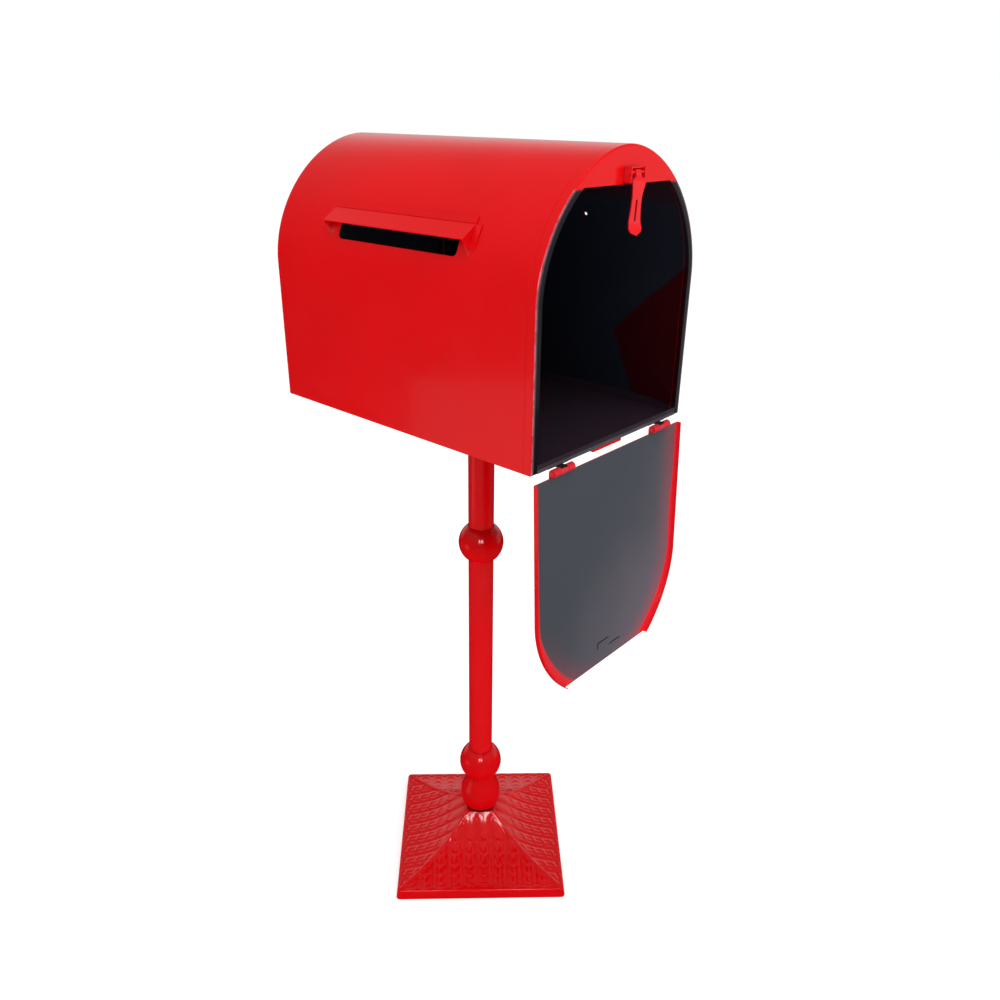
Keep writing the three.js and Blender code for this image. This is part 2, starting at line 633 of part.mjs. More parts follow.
// ---------------------------------------------------------------------- hasp
// Side profile of the tongue: it bulges over the ears, dips over the staple and flicks out.
function haspSideProfile() {
  const middle = new THREE.SplineCurve(HASP_PROFILE.map(([y, z]) => new THREE.Vector2(-y, z)));
  const line = middle.getPoints(HASP_PROFILE_STEPS);
  const half = HASP_THICKNESS / 2;
  const back = line.map((p) => [p.x + half, p.y]);
  const front = line.map((p) => [p.x - half, p.y]).reverse();
  return polygon([...back, ...front]);
}

// Front outline of the tongue: narrow knuckle, wide shoulder, waist, flare and pointed tip.
function haspFrontOutline() {
  const left = HASP_OUTLINE.map(([x, z]) => [-x, z]);
  const right = [...HASP_OUTLINE].reverse();
  return polygon([[0, -HASP_LENGTH], ...right, ...left]);
}

function haspTongue() {
  const strip = extrudedX(haspSideProfile(), -HASP_FLARE / 2 - 1, HASP_FLARE / 2 + 1);
  const knuckle = barX(HASP_KNUCKLE_RADIUS, -HASP_KNUCKLE_WIDTH / 2, HASP_KNUCKLE_WIDTH / 2, 0, 0);
  const outline = extrudedY(haspFrontOutline(), -HASP_LENGTH / 2, HASP_LENGTH / 2);
  const slotHalf = HASP_SLOT_WIDTH / 2;
  const slotTop = -HASP_SLOT_TOP;
  const slotLow = slotTop - HASP_SLOT_LENGTH;
  const slot = block(-slotHalf, slotHalf, -HASP_LENGTH / 2, HASP_LENGTH / 2, slotLow, slotTop);
  const bore = barX(HASP_PIN / 2 + RUNNING, -HASP_WIDTH, HASP_WIDTH, 0, 0, HOLE_STEPS);
  return cut(joined(strip, knuckle).intersect(outline), slot, bore);
}

// Bracket: a foot plate on the arch panel, two ears that hold the pin and a top plate.
function haspBracket() {
  const inside = HASP_WIDTH / 2 + GAP;
  const outside = inside + EAR_THICKNESS;
  const back = HASP_PIN_OUT - GAP;
  const capLow = HASP_KNUCKLE_RADIUS + CAP_CLEARANCE;
  const top = capLow + SHEET;
  const plate = block(-outside, outside, back - SHEET, back, -EAR_BELOW, top);
  const cap = block(-outside, outside, -CAP_FRONT, back, capLow, top);
  const left = block(-outside, -inside, -EAR_FRONT, back, -EAR_BELOW, top);
  const right = block(inside, outside, -EAR_FRONT, back, -EAR_BELOW, top);
  const bore = barX(HASP_PIN / 2 + RUNNING, -outside - 1, outside + 1, 0, 0, HOLE_STEPS);
  return cut(joined(plate, cap, left, right), bore);
}

function haspPin() {
  const end = HASP_WIDTH / 2 + 2 * GAP + EAR_THICKNESS;
  return joined(
    barX(HASP_PIN / 2, -end - 1, end + 1, 0, 0, HOLE_STEPS),
    barX(HASP_PIN / 2 + 1, -end - PIN_HEAD, -end, 0, 0, HOLE_STEPS),
    barX(HASP_PIN / 2 + 1, end, end + PIN_HEAD, 0, 0, HOLE_STEPS),
  );
}

const haspFrame = new THREE.Group();
haspFrame.position.set(HASP_X, haspY, haspZ);
mailbox.add(haspFrame);
add('hasp_bracket', haspBracket(), redEnamel, haspFrame);
add('hasp_pin', haspPin(), blackSteel, haspFrame);
add('hasp_tongue', haspTongue(), redEnamel, haspFrame);

// ---------------------------------------------------------------------- post
// Points of a ball's outline from one height to another, around its centre height.
function ballOutline(radius, centre, from, to, steps) {
  const points = [];
  const start = Math.asin(from / radius);
  const end = Math.asin(to / radius);
  for (let i = 0; i <= steps; i += 1) {
    const angle = start + ((end - start) * i) / steps;
    points.push([radius * Math.cos(angle), centre + radius * Math.sin(angle)]);
  }
  return points;
}

function tube(z0, z1) {
  return barZ(TUBE_DIAMETER / 2, z0, z1)
    .subtract(barZ(TUBE_DIAMETER / 2 - TUBE_WALL, z0 - 1, z1 + 1));
}

function socket(z0, z1) {
  return barZ(TUBE_DIAMETER / 2 + GAP, z0, z1);
}

function rodBore(z0, z1) {
  return barZ(ROD_DIAMETER / 2 + ROD_CLEARANCE, z0, z1, 0, 0, KNUCKLE_STEPS);
}

function midCollar() {
  const [low, high] = [midBallZ - midBallCut, midBallZ + midBallCut];
  const outline = ballOutline(MID_BALL / 2, midBallZ, -midBallCut, midBallCut, BALL_STEPS);
  const ball = turned([[0, low], ...outline, [0, high]]);
  return cut(
    ball, socket(low - 1, low + SOCKET_DEPTH), socket(high - SOCKET_DEPTH, high + 1), rodBore(low, high),
  );
}

// The lower ball and the bell below it are one casting.
function baseCollar() {
  const neckZ = collarBottom + BELL_HEIGHT;
  const high = lowBallZ + lowBallCut;
  const rimTop = collarBottom + BELL_RIM_EDGE;
  const widest = collarBottom + BELL_HEIGHT * BELL_WIDEST;
  const bell = [[0, collarBottom], [BELL_RIM_RADIUS - BELL_RIM_EDGE, collarBottom]];
  bell.push([BELL_RIM_RADIUS, rimTop], [BELL_RADIUS, widest]);
  for (let i = 1; i < BELL_STEPS; i += 1) {
    const turn = (Math.PI / 2) * (i / BELL_STEPS);
    const radius = NECK_RADIUS + (BELL_RADIUS - NECK_RADIUS) * Math.cos(turn) ** BELL_POWER;
    bell.push([radius, widest + (neckZ - widest) * Math.sin(turn)]);
  }
  const ball = ballOutline(LOW_BALL / 2, lowBallZ, neckZ - lowBallZ, lowBallCut, BALL_STEPS);
  const body = turned([...bell, ...ball, [0, high]]);
  return cut(body, socket(high - SOCKET_DEPTH, high + 1), rodBore(collarBottom - 1, high));
}

// Top flange: a square plate under the floor with a spigot inside the upper tube.
function topFlange() {
  const half = FLANGE_SIZE / 2;
  const plate = block(-half, half, -half, half, flangeBottom, flangeTop);
  const spigotRadius = TUBE_DIAMETER / 2 - TUBE_WALL - GAP;
  const spigot = barZ(spigotRadius, flangeBottom - FLANGE_SPIGOT, flangeBottom + 1);
  const holes = boltPlaces().map(([x, y]) => (
    barZ(BOLT_DIAMETER / 2 + ROD_CLEARANCE, flangeBottom - 1, flangeTop + 1, x, y, HOLE_STEPS)
  ));
  return cut(joined(plate, spigot), ...holes, rodBore(flangeBottom - FLANGE_SPIGOT - 1, flangeTop + 1));
}

function boltPlaces() {
  const half = BOLT_PITCH / 2;
  return [[-half, -half], [half, -half], [half, half], [-half, half]];
}

add('top_flange', topFlange(), blackSteel);
add('upper_tube', tube(upperTubeBottom, upperTubeTop), redEnamel);
add('mid_collar', midCollar(), redEnamel);
add('lower_tube', tube(lowerTubeBottom, lowerTubeTop), redEnamel);
add('base_collar', baseCollar(), redEnamel);

// ---------------------------------------------------------------------- foot
// Height of the foot's upper skin at a distance from its middle to a side.
function skirtHeight(distance) {
  const share = (distance - APEX_HALF) / (BASE_SIZE / 2 - RIM_DRAFT - APEX_HALF);
  const left = 1 - Math.min(Math.max(share, 0), 1);
  const bowl = APEX_HEIGHT - RIM_HEIGHT - SKIRT_RISE;
  return RIM_HEIGHT + SKIRT_RISE * left + bowl * left ** SKIRT_POWER;
}

// Four-sided turning: each profile radius is half a side, so corners lie on the diagonals.
function squareTurned(profile) {
  const points = profile.map(([half, height]) => new THREE.Vector2(half * Math.SQRT2, height));
  const geometry = new THREE.LatheGeometry(points, 4, Math.PI / 4);
  geometry.rotateX(Math.PI / 2);
  return solid(geometry);
}

function baseCasting() {
  const half = BASE_SIZE / 2;
  const rim = half - RIM_DRAFT;
  const outer = [[half, 0]];
  const inner = [];
  for (let i = 0; i <= SKIRT_STEPS; i += 1) {
    const distance = rim - ((rim - APEX_HALF) * i) / SKIRT_STEPS;
    outer.push([distance, skirtHeight(distance)]);
    if (i > 0) inner.push([distance - CASTING_WALL, skirtHeight(distance) - CASTING_WALL]);
  }
  const innerRim = [half - CASTING_WALL - 1, 0];
  const shell = squareTurned([[0, 0], ...outer, [0, APEX_HEIGHT]])
    .subtract(squareTurned([[0, -1], [innerRim[0], -1], ...inner, [0, APEX_HEIGHT - CASTING_WALL]]));
  const hub = barZ(HUB_RADIUS, HUB_FOOT, APEX_HEIGHT - CASTING_WALL / 2);
  return joined(shell, hub).subtract(rodBore(HUB_FOOT - 1, APEX_HEIGHT + 1));
}

const foot = new THREE.Group();
foot.rotation.z = rad(BASE_TURN);
mailbox.add(foot);
add('base_casting', baseCasting(), redEnamel, foot);

// ------------------------------------------------------------------ fasteners
function hexNut(flats, bore, z0, z1, x = 0, y = 0) {
  const hex = barZ(flats / Math.sqrt(3), z0, z1, x, y, 6);
  return hex.subtract(barZ(bore, z0 - 1, z1 + 1, x, y, HOLE_STEPS));
}

function washer(diameter, bore, z0, z1, x = 0, y = 0) {
  const disc = barZ(diameter / 2, z0, z1, x, y, KNUCKLE_STEPS);
  return disc.subtract(barZ(bore, z0 - 1, z1 + 1, x, y, HOLE_STEPS));
}

const rodHole = ROD_DIAMETER / 2 + GAP;
const topWasher = floorTop + GAP;
const topNut = topWasher + WASHER_THICKNESS + GAP;
const lowWasher = HUB_FOOT - GAP - WASHER_THICKNESS;
const lowNut = lowWasher - GAP - NUT_HEIGHT;
const rodTop = topNut + NUT_HEIGHT + ROD_TAIL;
add('tie_rod', barZ(ROD_DIAMETER / 2, lowNut - ROD_TAIL, rodTop, 0, 0, HOLE_STEPS), zincSteel);
add('tie_washer_top', washer(ROD_WASHER, rodHole, topWasher, topWasher + WASHER_THICKNESS), zincSteel);
add('tie_nut_top', hexNut(NUT_FLATS, rodHole, topNut, topNut + NUT_HEIGHT), zincSteel);
add('tie_washer_bottom', washer(ROD_WASHER, rodHole, lowWasher, lowWasher + WASHER_THICKNESS), zincSteel);
add('tie_nut_bottom', hexNut(NUT_FLATS, rodHole, lowNut, lowNut + NUT_HEIGHT), zincSteel);

// Domed bolts from inside the box, with a washer and a nut under the flange.
function domedBolt(x, y, z0) {
  const radius = BOLT_HEAD / 2;
  const head = floorTop + GAP;
  const edge = head + BOLT_HEAD_EDGE;
  const dome = [[0, head], [radius, head], [radius, edge]];
  for (let i = 1; i < DOME_STEPS; i += 1) {
    const turn = (Math.PI / 2) * (i / DOME_STEPS);
    dome.push([radius * Math.cos(turn), edge + (BOLT_HEAD_HEIGHT - BOLT_HEAD_EDGE) * Math.sin(turn)]);
  }
  dome.push([0, head + BOLT_HEAD_HEIGHT]);
  const shank = barZ(BOLT_DIAMETER / 2, z0, edge, 0, 0, HOLE_STEPS);
  return joined(turned(dome, HOLE_STEPS), shank).translate([x, y, 0]);
}

const boltWasher = flangeBottom - GAP - BOLT_WASHER_THICKNESS;
const boltNut = boltWasher - GAP - BOLT_NUT_HEIGHT;
const boltHole = BOLT_DIAMETER / 2 + GAP;
boltPlaces().forEach(([x, y], i) => {
  add(`floor_bolt_${i + 1}`, domedBolt(x, y, boltNut - BOLT_TAIL), zincSteel);
  add(`floor_washer_${i + 1}`, washer(
    BOLT_WASHER, boltHole, boltWasher, boltWasher + BOLT_WASHER_THICKNESS, x, y,
  ), zincSteel);
  add(`floor_nut_${i + 1}`, hexNut(
    BOLT_NUT_FLATS, boltHole, boltNut, boltNut + BOLT_NUT_HEIGHT, x, y,
  ), zincSteel);
});

export default mailbox;
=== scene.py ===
"""A mailbox on a turned post, in enamelled sheet steel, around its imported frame.

The box is an arched shell with a drop-down door, a hooded slot and a hasp. The post is two
tubes between two turned collars, and it stands on a square cast foot with fluted relief.
"""

import json
import logging
import math
from dataclasses import dataclass, field
from enum import Enum
from typing import Callable, Iterable, Sequence

import bmesh
import bpy
from bmesh.types import BMEdge, BMesh, BMFace, BMVert
from bpy.types import Material, Object
from mathutils import Matrix, Vector


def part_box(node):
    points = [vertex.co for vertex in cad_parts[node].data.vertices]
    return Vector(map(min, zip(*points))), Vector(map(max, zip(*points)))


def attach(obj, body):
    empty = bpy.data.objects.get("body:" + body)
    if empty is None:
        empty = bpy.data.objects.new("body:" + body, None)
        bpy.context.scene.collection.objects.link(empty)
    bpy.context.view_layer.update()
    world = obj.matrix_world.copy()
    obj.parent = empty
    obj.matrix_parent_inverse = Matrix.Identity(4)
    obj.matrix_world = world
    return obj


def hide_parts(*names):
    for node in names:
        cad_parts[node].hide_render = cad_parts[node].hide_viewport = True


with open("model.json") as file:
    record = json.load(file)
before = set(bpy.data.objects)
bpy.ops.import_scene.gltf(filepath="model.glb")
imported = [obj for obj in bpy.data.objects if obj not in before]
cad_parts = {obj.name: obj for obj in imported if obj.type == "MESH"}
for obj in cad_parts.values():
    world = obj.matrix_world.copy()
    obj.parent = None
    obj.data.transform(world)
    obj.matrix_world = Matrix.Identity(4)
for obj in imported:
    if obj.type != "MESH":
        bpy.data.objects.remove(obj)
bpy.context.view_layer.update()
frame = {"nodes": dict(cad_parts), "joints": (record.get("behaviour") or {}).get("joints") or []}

LOG = logging.getLogger("mailbox")
MM = 0.001

Colour = tuple[float, float, float, float]
Point = tuple[float, float]


class Body(Enum):
    """The rigid bodies that pieces ride on."""

    BOX = "box_and_post"
    DOOR = "door"
    HASP = "hasp"


class Slot(Enum):
    """The record's material slots."""

    RED = "red_enamel"
    CASTING = "red_casting"
    DOOR = "door_grey"
    INSIDE = "dark_interior"
    BLACK = "black_steel"
    ZINC = "zinc"


def rgb(red: int, green: int, blue: int) -> Colour:
    """A linear colour from display values.

    Args:
        red: Red from 0 to 255.
        green: Green from 0 to 255.
        blue: Blue from 0 to 255.

    Returns:
        The linear red, green, blue and an alpha of 1.
    """
    shares = [level / 255 for level in (red, green, blue)]
    return (*(c / 12.92 if c < 0.0404 else ((c + 0.055) / 1.055) ** 2.4 for c in shares), 1.0)


# ---------------------------------------------------------------- shader maths


def operator(operation: str, swapped: bool = False) -> Callable[..., "Field"]:
    """A method of Field that adds one Math node.

    Args:
        operation: The node's operation.
        swapped: Whether the field comes second.

    Returns:
        The method.
    """

    def apply(self: "Field", *others: "Field | float") -> "Field":
        """The field and the others through a Math node."""
        values = (*others, self) if swapped else (self, *others)
        return self.graph.node("ShaderNodeMath", {"operation": operation}, dict(enumerate(values)))

    return apply


class Field:
    """A shader value that takes part in Python arithmetic; most is the larger of two."""

    __add__ = __radd__ = operator("ADD")
    __mul__ = __rmul__ = operator("MULTIPLY")
    __sub__, __rsub__ = operator("SUBTRACT"), operator("SUBTRACT", True)
    __truediv__ = operator("DIVIDE")
    __pow__ = operator("POWER")
    __abs__ = operator("ABSOLUTE")
    most = operator("MAXIMUM")

    def __init__(self, graph: "Graph", socket: bpy.types.NodeSocket) -> None:
        """Wraps an output socket of a graph."""
        self.graph = graph
        self.socket = socket

    def step(self, low: "Field | float", high: "Field | float") -> "Field":
        """A smooth step.

        Args:
            low: Where the step starts.
            high: Where it ends.

        Returns:
            0 below low, 1 above high, and smooth between them.
        """
        settings = {"interpolation_type": "SMOOTHSTEP"}
        return self.graph.node("ShaderNodeMapRange", settings, {0: self, 1: low, 2: high})


class Graph:
    """A node tree that is built by expressions."""

    def __init__(self, tree: bpy.types.NodeTree) -> None:
        """Takes a tree and empties it."""
        self.tree = tree
        tree.nodes.clear()

    def feed(self, socket: bpy.types.NodeSocket, value: "Field | float | Sequence[float]") -> None:
        """Links a field to a socket, or sets a constant on it."""
        if isinstance(value, Field):
            self.tree.links.new(value.socket, socket)
        else:
            socket.default_value = value

    def node(
        self,
        kind: str,
        settings: dict[str, object] | None = None,
        sockets: dict[str | int, object] | None = None,
        output: str | int = 0,
    ) -> Field:
        """Adds any node.

        Args:
            kind: The node's type name.
            settings: Its properties, set first; "stops" are a ramp's places and colours.
            sockets: Values or fields for its inputs, by name or number.
            output: The output to return.

        Returns:
            That output as a field.
        """
        node = self.tree.nodes.new(kind)
        for key, value in (settings or {}).items():
            if key == "stops":
                for stop, (place, colour) in zip(self._stops(node, len(value)), value):
                    stop.position = place
                    stop.color = colour
            else:
                setattr(node, key, value)
        for key, value in (sockets or {}).items():
            self.feed(node.inputs[key], value)
        return Field(self, node.outputs[output])

    @staticmethod
    def _stops(node: bpy.types.Node, count: int) -> Iterable[bpy.types.ColorRampElement]:
        """The first stops of a ramp, after adding those that it lacks."""
        elements = node.color_ramp.elements
        while len(elements) < count:
            elements.new(1.0)
        return list(elements)[:count]

    def place(self) -> Field:
        """The position on the piece, in metres."""
        return self.node("ShaderNodeTexCoord", output="Object")

    def axes(self) -> tuple[Field, Field, Field]:
        """The x, y and z of the position."""
        place = self.place()
        return tuple(self.node("ShaderNodeSeparateXYZ", sockets={0: place}, output=i) for i in range(3))

    def noise(
        self, scale: float, detail: float = 2.0, roughness: float = 0.5, stretch: Sequence[float] = (1, 1, 1)
    ) -> Field:
        """Smooth noise around 0.5.

        Args:
            scale: Waves per metre.
            detail: Octaves.
            roughness: Strength of the finer octaves.
            stretch: Scale along x, y and z.

        Returns:
            The noise.
        """
        place = self.place()
        if tuple(stretch) != (1, 1, 1):
            place = self.node("ShaderNodeMapping", sockets={"Vector": place, "Scale": stretch})
        sockets = {"Vector": place, "Scale": scale, "Detail": detail, "Roughness": roughness}
        return self.node("ShaderNodeTexNoise", sockets=sockets)

    def mix(self, share: "Field | float", first: "Field | Colour", second: "Field | Colour") -> Field:
        """A colour between two."""
        return self.node("ShaderNodeMix", {"data_type": "RGBA"}, {0: share, 6: first, 7: second}, output=2)

    def bump(self, height: Field, depth: float, under: Field | None = None) -> Field:
        """A normal from a height.

        Args:
            height: The height, about 0 to 1.
            depth: What a height of 1 stands for, in metres.
            under: A normal to add this one to.

        Returns:
            The normal.
        """
        sockets = {"Height": height, "Distance": depth, "Strength": 1.0}
        if under is not None:
            sockets["Normal"] = under
        return self.node("ShaderNodeBump", sockets=sockets)

    def arch_inset(self, arch: "Arch", base: float, upside_down: bool = False) -> Field:
        """How far in from an arched outline a point is.

        Args:
            arch: The outline.
            base: Height of its base line, in metres.
            upside_down: Whether the arch points down.

        Returns:
            The distance, in metres; exact along the straight walls.
        """
        x, _, z = self.axes()
        up = (base - z) if upside_down else (z - base)
        across = (abs(x) / arch.half) ** arch.power
        along = ((up - arch.wall).most(0.0) / (arch.height - arch.wall)) ** arch.power
        return (1.0 - (across + along) ** (1 / arch.power)) * arch.half


class Paint(Graph):
    """A material's nodes, ending in one Principled shader."""

    def __init__(self, name: str) -> None:
        """Makes an empty material of that name."""
        self.material = bpy.data.materials.new(name)
        self.material.use_nodes = True
        super().__init__(self.material.node_tree)
        self.shader = self.tree.nodes.new("ShaderNodeBsdfPrincipled")
        end = self.tree.nodes.new("ShaderNodeOutputMaterial")
        self.tree.links.new(self.shader.outputs[0], end.inputs[0])

    def finish(self, **values: "Field | float | Sequence[float]") -> Material:
        """Sets the shader's sockets, with _ for a space in their names, and gives the material."""
        for key, value in values.items():
            self.feed(self.shader.inputs[key.replace("_", " ")], value)
        return self.material

    def enamel(self, colour: Field, roughness: Field, normal: Field) -> Material:
        """Ends in glossy paint under a thin clear coat."""
        coat = {"Coat_Weight": 0.35, "Coat_Roughness": 0.05}
        return self.finish(Base_Color=colour, Roughness=roughness, Normal=normal, **coat)


# -------------------------------------------------------------------- finishes


@dataclass(frozen=True)
class Enamel:
    """Glossy sprayed enamel, with a little unevenness in tone and surface.

    Attributes:
        name: The material's name.
        colour: The paint's colour.
        deep: Its tone where it lies thick.
        gloss: Roughness of the paint.
        ripple: Depth of the sheet's waviness under the paint, in metres.
        peel: Depth of the spray's fine texture, in metres.
        peel_scale: Fine texture waves per metre.
    """

    name: str
    colour: Colour = rgb(222, 0, 8)
    deep: Colour = rgb(204, 0, 2)
    gloss: float = 0.17
    ripple: float = 0.0011
    peel: float = 0.000012
    peel_scale: float = 260.0

    def paint(self, graph: Graph) -> Field:
        """The paint's colour over the surface."""
        cloud = graph.noise(3.2, 3.0)
        fleck = graph.noise(140.0, 2.0)
        share = cloud.step(0.35, 0.72) * 0.5 + fleck * 0.16
        return graph.mix(share, self.colour, self.deep)

    def normal(self, graph: Graph) -> Field:
        """The surface's unevenness."""
        broad = graph.bump(graph.noise(4.5, 1.0), self.ripple)
        return graph.bump(graph.noise(self.peel_scale, 2.0), self.peel, broad)

    def roughness(self, graph: Graph) -> Field:
        """The paint's roughness over the surface."""
        return self.gloss + (graph.noise(26.0, 4.0, 0.6) - 0.5) * 0.09

    def material(self) -> Material:
        """The finished material."""
        graph = Paint(self.name)
        return graph.enamel(self.paint(graph), self.roughness(graph), self.normal(graph))


@dataclass(frozen=True)
class FrameEnamel(Enamel):
    """Enamel whose lip carries the inside's dark paint below the arch panel, with a painted pinkish highlight
    along its bend.

    Attributes:
        arch: The box's outline.
        base: Height of the box's bottom, in metres.
        front: The front's y, in metres.
        panel: Height of the arch panel's lower edge, in metres.
        lip: The dark paint on the lip's outer part.
        inner: Its tone towards the opening.
        edge_highlight: The painted pinkish highlight along the bend beside it.
    """

    arch: "Arch | None" = None
    base: float = 0.0
    front: float = 0.0
    panel: float = 0.0
    lip: Colour = rgb(84, 66, 74)
    inner: Colour = rgb(12, 12, 17)
    edge_highlight: Colour = rgb(178, 112, 126)

    def material(self) -> Material:
        """The finished material."""
        graph = Paint(self.name)
        _, y, z = graph.axes()
        inset = graph.arch_inset(self.arch, self.base) + (graph.noise(160.0, 3.0) - 0.5) * 0.0009
        below = 1.0 - z.step(self.panel - 0.004, self.panel + 0.0005)
        ahead = 1.0 - y.step(self.front + 0.0012, self.front + 0.0022)
        dark = below * ahead * inset.step(0.0011, 0.0016)
        # Painted highlight: a pinkish line along the front bend, broken up by noise.
        worn = graph.noise(75.0, 4.0, 0.7).step(0.30, 0.62)
        rub = below * ahead * inset.step(0.0002, 0.0008) * (1.0 - inset.step(0.0018, 0.0028)) * worn
        lip = graph.mix(inset.step(0.0032, 0.0056), self.lip, self.inner)
        colour = graph.mix(dark, self.paint(graph), lip)
        colour = graph.mix(rub * 0.75, colour, self.edge_highlight)
        return graph.enamel(colour, self.roughness(graph) + dark * 0.15, self.normal(graph))


@dataclass(frozen=True)
class InsidePaint:
    """Near-black glossy paint, scuffed, with a painted red reflection on the right wall and a red tint under
    the crown.

    Attributes:
        name: The material's name.
        colour: The dark paint.
        mist: The red of the painted reflection on the right wall and of the tint under the crown.
        reach: The y that the painted reflection on the right wall reaches, in metres.
        level: The height at which it reaches it.
        low: The height where that painted reflection ends.
        high: The height where the red tint under the crown starts.
        scuffs: Strength of the fine scratches.
    """

    name: str
    colour: Colour = rgb(27, 30, 41)
    mist: Colour = rgb(50, 0, 6)
    reach: float = -0.119
    level: float = 1.037
    low: float = 0.940
    high: float = 1.225
    scuffs: float = 0.35

    def red_reflection_and_tint(self, graph: Graph) -> Field:
        """How much painted red reflection, and red tint under the crown, lies on the paint."""
        x, y, z = graph.axes()
        wander = (graph.noise(14.0, 3.0) - 0.5) * 0.03
        edge = self.reach - (z - self.level).most(0.0) * 1.1 - (self.level - z).most(0.0) * 0.5
        wall = 1.0 - (y - edge + wander).step(-0.005, 0.005)
        wall = wall * (z + wander).step(self.low - 0.003, self.low + 0.003) * x.step(0.05, 0.06)
        crown = (z + wander).step(self.high, self.high + 0.03) * (1.0 - y.step(-0.1, 0.0))
        return wall.most(crown * 0.45)

    def material(self) -> Material:
        """The finished material."""
        graph = Paint(self.name)
        scratch = graph.noise(9.0, 6.0, 0.75, (3.0, 26.0, 9.0)).step(0.66, 0.74) * self.scuffs
        # Painted red reflection on the right wall, with the red tint under the crown.
        base = graph.mix(self.red_reflection_and_tint(graph), self.colour, self.mist)
        return graph.finish(
            Base_Color=graph.mix(scratch, base, rgb(70, 62, 68)),
            Roughness=0.24 + graph.noise(30.0, 4.0) * 0.14 + scratch * 0.3,
            Normal=graph.bump(graph.noise(240.0, 2.0), 0.00002),
            Specular_IOR_Level=0.4,
        )


@dataclass(frozen=True)
class DoorPaint:
    """Charcoal paint on the door's inner face, with soft red mist towards its curved edges.

    Attributes:
        name: The material's name.
        arch: The door's outline.
        top: Height of the outline's base line, in metres.
        grey: The charcoal.
        plum: Its tone under a thin red haze.
        red: The enamel's mist.
    """

    name: str
    arch: "Arch"
    top: float
    grey: Colour = rgb(66, 70, 78)
    plum: Colour = rgb(108, 96, 108)
    red: Colour = rgb(226, 26, 38)

    def material(self) -> Material:
        """The finished material."""
        graph = Paint(self.name)
        x, _, z = graph.axes()
        down = self.top - z
        inset = graph.arch_inset(self.arch, self.top, True)
        wander = (graph.noise(11.0, 3.0) - 0.5) * 0.007
        width = 0.0060 + down.step(0.02, 0.20) * 0.0040 + down.step(0.20, 0.345) * 0.0060
        soft = 0.0018 + down.step(0.20, 0.345) * 0.0032
        mist = 1.0 - (inset + wander).step(width - soft, width + soft)
        drift = (x * 1.6 + down * 1.6 + (graph.noise(5.0, 3.0) - 0.5) * 0.5).step(0.1, 0.9)
        haze = (1.0 - inset.step(0.0, 0.06)) * (x.step(-0.1, 0.16) + down.step(0.22, 0.36)) * 0.2
        grain = graph.noise(900.0, 3.0, 0.7)
        tone = graph.mix(drift * 0.85, self.grey, self.plum)
        tone = graph.mix(haze, tone, self.red)
        tone = graph.mix(grain.step(0.3, 0.8) * 0.2, tone, rgb(44, 48, 54))
        scratch = graph.noise(14.0, 6.0, 0.8, (22.0, 4.0, 3.0)).step(0.70, 0.76) * 0.3
        tone = graph.mix(scratch, tone, rgb(150, 150, 152))
        return graph.finish(
            Base_Color=graph.mix(mist, tone, self.red),
            Roughness=0.52 - mist * 0.26 + (grain - 0.5) * 0.12,
            Normal=graph.bump(grain, 0.00003),
            Specular_IOR_Level=0.4,
        )


@dataclass(frozen=True)
class HingePaint:
    """Black leaf under the floor, its black partly painted shade under the sill, with red enamel on the
    knuckles below it.

    Attributes:
        name: The material's name.
        change: Height at which black turns to red, in metres.
        black: The leaf's paint, which also stands in as painted shade under the sill.
        red: The knuckles' enamel.
    """

    name: str
    change: float
    black: Colour = rgb(20, 18, 20)
    red: Colour = rgb(206, 34, 48)

    def material(self) -> Material:
        """The finished material."""
        graph = Paint(self.name)
        _, _, z = graph.axes()
        wander = (graph.noise(120.0, 3.0) - 0.5) * 0.0016
        # Black above the change: the leaf's paint and painted shade under the sill.
        black = (z + wander).step(self.change - 0.0006, self.change + 0.0006)
        return graph.finish(
            Base_Color=graph.mix(black, self.red, self.black),
            Roughness=0.28 + graph.noise(160.0, 3.0) * 0.2,
            Normal=graph.bump(graph.noise(300.0, 3.0), 0.00006),
            Coat_Weight=0.2,
        )


@dataclass(frozen=True)
class PlainMetal:
    """Metal under a thin finish: satin black paint, or zinc plate.

    Attributes:
        name: The material's name.
        colour: Its main tone.
        worn: Its tone where it is rubbed.
        metallic: 0 for paint and 1 for plate.
        roughness: Its mean roughness.
    """

    name: str
    colour: Colour
    worn: Colour
    metallic: float
    roughness: float

    def material(self) -> Material:
        """The finished material."""
        graph = Paint(self.name)
        rub = graph.noise(60.0, 5.0, 0.65).step(0.5, 0.72)
        spangle = graph.noise(420.0, 2.0)
        return graph.finish(
            Base_Color=graph.mix(rub * 0.6 + spangle * 0.15, self.colour, self.worn),
            Roughness=self.roughness + (spangle - 0.5) * 0.18,
            Metallic=self.metallic,
            Normal=graph.bump(spangle, 0.00002),
        )


# ------------------------------------------------------------- modelling tools


def new_object(
    name: str, bm: BMesh, materials: Sequence[Material] = ()
) -> Object:
    """Puts a bmesh into a new object at the origin and frees it.

    Args:
        name: The object's name.
        bm: Its shape.
        materials: Its materials, by index.

    Returns:
        The object.
    """
    mesh = bpy.data.meshes.new(name)
    for material in materials:
        mesh.materials.append(material)
    bm.to_mesh(mesh)
    bm.free()
    thing = bpy.data.objects.new(name, mesh)
    bpy.context.scene.collection.objects.link(thing)
    return thing


def applied(thing: Object) -> Object:
    """Turns an object's modifiers into mesh."""
    bpy.context.view_layer.update()
    graph = bpy.context.evaluated_depsgraph_get()
    mesh = bpy.data.meshes.new_from_object(thing.evaluated_get(graph))
    thing.modifiers.clear()
    thing.data = mesh
    return thing


def thicken(thing: Object, sheet: float, inner: int = 0) -> Object:
    """Gives a skin its thickness, inwards.

    Args:
        thing: The skin, facing out.
        sheet: The thickness, in metres.
        inner: Offset of the inner side's material.

    Returns:
        The same object.
    """
    modifier = thing.modifiers.new("sheet", "SOLIDIFY")
    modifier.thickness = sheet
    modifier.offset = -1.0
    modifier.use_even_offset = True
    modifier.material_offset = inner
    return applied(thing)


